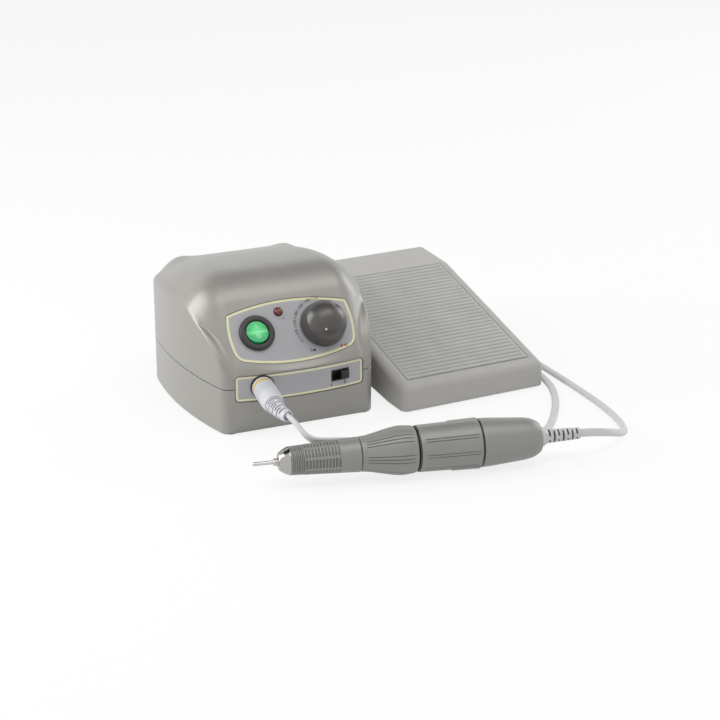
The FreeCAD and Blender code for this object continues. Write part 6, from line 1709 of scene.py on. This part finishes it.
@dataclass
class PedalMat:
    """The ribbed mat on the treadle's slope."""

    start: float = 8.5
    end: float = 127.0
    half_wide: float = 45.0
    front: float = 17.0
    climb: float = (49.2 - 17.0) / 128.0
    ribs: int = 32
    rib_tall: float = 0.4
    top: float = 0.15
    sunk: float = 1.1
    edge_drop: float = 0.25
    edge_insets: tuple[float, ...] = (0.0, 0.4, 1.1, 1.5, 2.1)

    def build(self, tools: Toolbox) -> None:
        """Builds the mat: one section along the slope, carried across it.

        The section's upper side swings as a cosine with one crest to a rib, and the swing
        fades out near both sides.
        """
        slope = math.degrees(math.atan(self.climb))
        place = PEDAL.at(0.0, self.start, self.front + self.climb * self.start).tipped(slope)
        whole = (self.end - self.start) / math.cos(math.radians(slope))
        along = np.linspace(0.0, whole, self.ribs * 14 + 1)
        swing = 0.5 - 0.5 * np.cos(along / whole * TURN * self.ribs)
        crest = self.rib_tall * smooth_step(swing, 0.05, 0.95)
        rings, deep = [], []
        left = [(-1, inset) for inset in self.edge_insets]
        right = [(1, inset) for inset in self.edge_insets[::-1]]
        for side, inset in left + right:
            x = side * (self.half_wide - inset)
            flat = smooth_step(np.array(inset), 1.0, 2.0)
            drop = self.edge_drop * (1 - smooth_step(np.array(inset), 0.0, 0.5))
            upper = np.column_stack([np.full_like(along, x), along,
                                     self.top + crest * flat - drop])
            lower = np.column_stack([np.full_like(along, x), along,
                                     np.full_like(along, -self.sunk)])
            rings.append(place.world(np.vstack([upper, lower[::-1]])))
            # painted shade in the valleys between the ribs: darkest at a valley's floor, none at
            # a rib's crest
            valley = (1 - smooth_step(swing, 0.05, 0.7)) * flat
            deep.append(np.concatenate([valley, np.zeros_like(along)]))
        mat = ring_mesh("pedal_mat_ribbed", np.stack(rings), math.radians(50),
                        sunk=np.stack(deep))
        tools.dress(mat, PEDAL_MAT, Body.TREADLE, "pedal_mat", "pedal_mat")


@dataclass
class PedalSpring:
    """The return spring between the pedal's base plate and the treadle."""

    at: tuple[float, float] = (0.0, 118.0)
    radius: float = 6.0
    wire: float = 0.8
    low: float = 5.0
    high: float = 42.1
    turns: int = 6
    pressed: float = 0.76

    def build(self, tools: Toolbox) -> None:
        """Builds the coil: a round section carried along a rising helix.

        At a turn the wire's middle is one radius out from the axis and has climbed in
        proportion to the turn.
        """
        turn = np.linspace(0.0, TURN * self.turns, 48 * self.turns + 1)
        out = np.stack([np.cos(turn), np.sin(turn), np.zeros_like(turn)], -1)
        climb = (self.high - self.low - 2 * self.wire) / turn[-1]
        ahead = np.stack([-self.radius * np.sin(turn), self.radius * np.cos(turn),
                          np.full_like(turn, climb)], -1)
        ahead /= np.linalg.norm(ahead, axis=1, keepdims=True)
        up = np.cross(out, ahead)
        middle = out * self.radius
        middle[:, 2] = self.low + self.wire + climb * turn
        angle = np.linspace(0, TURN, 14, endpoint=False)
        rings = middle[:, None] + self.wire * (np.cos(angle)[None, :, None] * out[:, None]
                                               + np.sin(angle)[None, :, None] * up[:, None])
        place = PEDAL.at(*self.at)
        coil = ring_mesh("pedal_return_spring", place.world(rings), math.radians(60))
        tools.dress(coil, ZINC, Body.ROOT, "spring_steel", "pedal_spring")
        foot = place.world(np.array([0.0, 0.0, self.low])) * MM
        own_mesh(coil)


# Fittings at the rear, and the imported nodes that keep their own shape


@dataclass
class Fittings:
    """The turned fittings in the unit's rear wall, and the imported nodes' own finishes."""

    rear: float = 126.0
    height: float = 17.0

    def turned(self, tools: Toolbox, name: str, x: float, profile: Sequence[Sequence[float]],
               finish: Finish, slot: str, node: str) -> None:
        """One fitting, turned about an axis that points out of the rear wall."""
        place = UNIT.at(x, self.rear, self.height)
        out, side, up = np.array([0.0, 1, 0]), np.array([-1.0, 0, 0]), np.array([0.0, 0, 1])
        piece = lathe(name, Place(place.origin, np.array([out, side, up])), profile, 0, 72, 0.3)
        tools.dress(piece, finish, Body.ROOT, slot, node)

    def build(self, tools: Toolbox) -> None:
        """Builds the rear fittings and repaints the imported nodes that keep their own shape."""
        self.turned(tools, "mains_gland", 24.0, [
            (-9.0, 3.4), (-9.0, 5.5), (0.0, 5.5), (0.0, 7.0), (1.2, 7.0), (2.0, 6.0),
            (2.0, 3.4), (-9.0, 3.4)], BLACK, "black_plastic", "mains_cord_gland")
        self.turned(tools, "fuse_cap", 4.0, [
            (-24.0, 0.0), (-24.0, 6.0), (0.0, 6.0), (0.0, 7.0), (1.5, 7.0), (1.6, 5.9),
            (5.0, 5.5), (5.0, 4.2), (4.4, 4.0), (4.4, 0.0)], BLACK, "black_plastic",
            "fuse_holder")
        self.turned(tools, "pedal_socket", -20.0, [
            (-20.0, 0.0), (-20.0, 5.0), (0.0, 5.0), (0.0, 6.5), (1.2, 6.5), (1.8, 5.8),
            (1.8, 3.2), (-17.0, 3.2), (-17.0, 0.0)], PLATED, "socket_metal", "pedal_jack")
        for finish, nodes in {
            ZINC: ("unit_screws", "pedal_hinge_pin", "potentiometer"),
            BRASS: ("power_switch_terminals",),
            ALUMINIUM: ("speed_knob_shaft", "heat_sink"),
            BLACK: ("power_transistor", "motor_end_plate", "foot_switch",
                    "foot_switch_plunger", "pedal_cord_gland", "motor_brushes"),
            BOARD: ("control_board",),
            CAPACITOR: ("filter_capacitors",),
            IRON: ("transformer_core", "motor_magnet"),
            COPPER: ("transformer_winding", "armature", "commutator"),
            NOSE_STEEL: ("inner_tube", "spindle", "shaft_bearings", "motor_shaft"),
            RUBBER: ("unit_feet", "pedal_feet"),
            PEDAL_SHELL: ("pedal_treadle",),
            PEDAL_STEEL: ("pedal_base",),
        }.items():
            for node in nodes:
                tools.repaint(node, finish)


# Studio


@dataclass(frozen=True)
class SoftLamp:
    """A rectangular lamp: where it stands and its size in metres, its power in watts."""

    name: str
    at: tuple[float, float, float]
    size: tuple[float, float]
    power: float

    def build(self, target: Array) -> None:
        """Adds the lamp, aimed at a point."""
        data = bpy.data.lights.new(self.name, "AREA")
        data.shape = "RECTANGLE"
        data.size, data.size_y = self.size
        data.energy = self.power
        place = np.array(self.at)
        back = (place - target) / np.linalg.norm(place - target)
        right = np.cross([0.0, 0.05, 1.0], back)
        right /= np.linalg.norm(right)
        stand(bpy.data.objects.new(self.name, data), right, np.cross(back, right), back, place)


def stand(item: bpy.types.Object, right: Array, up: Array, back: Array, at: Array) -> None:
    """Adds a camera or lamp with its three axes at a point, in metres."""
    upper = np.column_stack([right, up, back, at])
    item.matrix_world = Matrix([*upper.tolist(), [0.0, 0.0, 0.0, 1.0]])
    bpy.context.collection.objects.link(item)


def sheet(name: str, corners: Sequence[Sequence[float]], material: bpy.types.Material
          ) -> bpy.types.Object:
    """A sheet between four corners, in metres."""
    mesh = bpy.data.meshes.new(name)
    mesh.from_pydata(list(corners), [], [(0, 1, 2, 3)])
    mesh.materials.append(material)
    item = bpy.data.objects.new(name, mesh)
    bpy.context.collection.objects.link(item)
    return item


def seen_ray(graph: Graph) -> bpy.types.NodeSocket:
    """1 for a ray from the camera, a mirror or a clear piece, and 0 for the rest."""
    path = graph.add("ShaderNodeLightPath")
    seen = graph.math("MAXIMUM", path.outputs["Is Camera Ray"],
                      path.outputs["Is Transmission Ray"])
    return graph.math("MAXIMUM", seen, path.outputs["Is Glossy Ray"])


@dataclass
class Studio:
    """Camera at the photograph's angle, a pale floor and soft light.

    The camera is in millimetres and degrees; the lamps, the floor and the card are in metres.
    """

    azimuth: float = -23.7
    elevation: float = 21.0
    focal: float = 2000.0
    picture: float = 720.0
    distance: float = 1240.0
    anchor: tuple[float, float, float] = (-104.5, -18.2, 0.0)
    anchor_pixel: tuple[float, float] = (224.6, 436.0)
    sensor: float = 36.0
    floor_half: float = 6.0
    floor_white: float = 0.8
    sky: float = 0.55
    aim: tuple[float, float, float] = (0.0, 0.0, 0.04)
    lamps: tuple[SoftLamp, ...] = (
        SoftLamp("overhead", (0.05, -0.4, 1.2), (1.3, 0.5), 4.6),
        SoftLamp("left_side", (-1.05, 0.35, 0.5), (0.5, 0.9), 8.0),
        SoftLamp("right_side", (1.3, 0.35, 0.5), (0.6, 0.6), 3.6),
    )
    card_left: float = -1.6
    card_right: float = 1.8
    card_back: tuple[float, float] = (1.5, 1.5)
    card_front: tuple[float, float] = (0.25, 2.0)

    def camera(self) -> None:
        """The camera: a known point of the unit falls on its own place in the picture."""
        a, e = math.radians(self.azimuth), math.radians(self.elevation)
        back = np.array([math.sin(a) * math.cos(e), -math.cos(a) * math.cos(e), math.sin(e)])
        right = np.array([math.cos(a), math.sin(a), 0.0])
        up = np.cross(back, right)
        across = (self.anchor_pixel[0] - self.picture / 2) / self.focal * self.distance
        down = (self.anchor_pixel[1] - self.picture / 2) / self.focal * self.distance
        at = np.array(self.anchor) - (right * across - up * down - back * self.distance)
        lens = bpy.data.cameras.new("camera")
        lens.sensor_width = self.sensor
        lens.lens = self.focal / self.picture * self.sensor
        lens.clip_start, lens.clip_end = 0.01, 20.0
        camera = bpy.data.objects.new("camera", lens)
        stand(camera, right, up, back, at * MM)
        bpy.context.scene.camera = camera

    def floor(self) -> None:
        """A wide pale floor that shows white to the camera where nothing shades it."""
        made, graph, out = new_material("floor_paper")
        shader = graph.add("ShaderNodeBsdfPrincipled", {
            "Base Color": rgba((0.93, 0.93, 0.93)), "Roughness": 0.8,
            "Specular IOR Level": 0.2})
        white = graph.add("ShaderNodeEmission", {"Color": rgba((1.0, 1.0, 1.0)),
                                                 "Strength": 1.0})
        share = graph.math("MULTIPLY", seen_ray(graph), self.floor_white)
        mixed = graph.add("ShaderNodeMixShader", {0: share, 1: shader.outputs[0],
                                                  2: white.outputs[0]})
        graph.tree.links.new(mixed.outputs[0], out.inputs["Surface"])
        half = self.floor_half
        floor = sheet("floor", [(-half, -half, 0.0), (half, -half, 0.0), (half, half, 0.0),
                                (-half, half, 0.0)], made)

    def card(self) -> None:
        """A dark card out of the picture, for what the metal and the paint mirror."""
        made, graph, out = new_material("high_back_card")
        shader = graph.add("ShaderNodeBsdfDiffuse", {"Color": rgba((0.03, 0.03, 0.03))})
        graph.tree.links.new(shader.outputs[0], out.inputs["Surface"])
        left, right = self.card_left, self.card_right
        card = sheet("high_back_card", [(left, *self.card_back), (right, *self.card_back),
                                        (right, *self.card_front), (left, *self.card_front)],
                     made)
        card.visible_shadow = False
        card.visible_diffuse = False

    def world(self) -> None:
        """Even pale light all round, and white where a camera, glossy or clear ray sees it."""
        world = bpy.data.worlds.new("studio")
        bpy.context.scene.world = world
        world.use_nodes = True
        graph = Graph(world.node_tree)
        out = graph.add("ShaderNodeOutputWorld")
        strength = graph.band(seen_ray(graph), 0.0, 1.0, self.sky, 1.0)
        back = graph.add("ShaderNodeBackground", {"Color": rgba((1.0, 1.0, 1.0)),
                                                  "Strength": strength})
        graph.tree.links.new(back.outputs[0], out.inputs["Surface"])

    def build(self) -> None:
        """Sets up camera, floor, world, lamps and card."""
        self.camera()
        self.floor()
        self.world()
        for lamp in self.lamps:
            lamp.build(np.array(self.aim))
        self.card()
        bpy.context.scene.view_settings.view_transform = "Standard"


def main() -> None:
    """Builds the scene and reports each piece."""
    logging.basicConfig(level=logging.INFO, format="%(name)s: %(message)s")
    Studio().build()
    tools = Toolbox(grain_group(), edge_group(), dust_group())
    for assembly in (Casing(), ControlPanel(), FrontPanel(), MotorPlug(), Handpiece(),
                     MotorCord(), PedalMat(), PedalSpring(), Fittings()):
        log.info("building %s", type(assembly).__name__)
        assembly.build(tools)


if __name__ == "__main__":
    main()
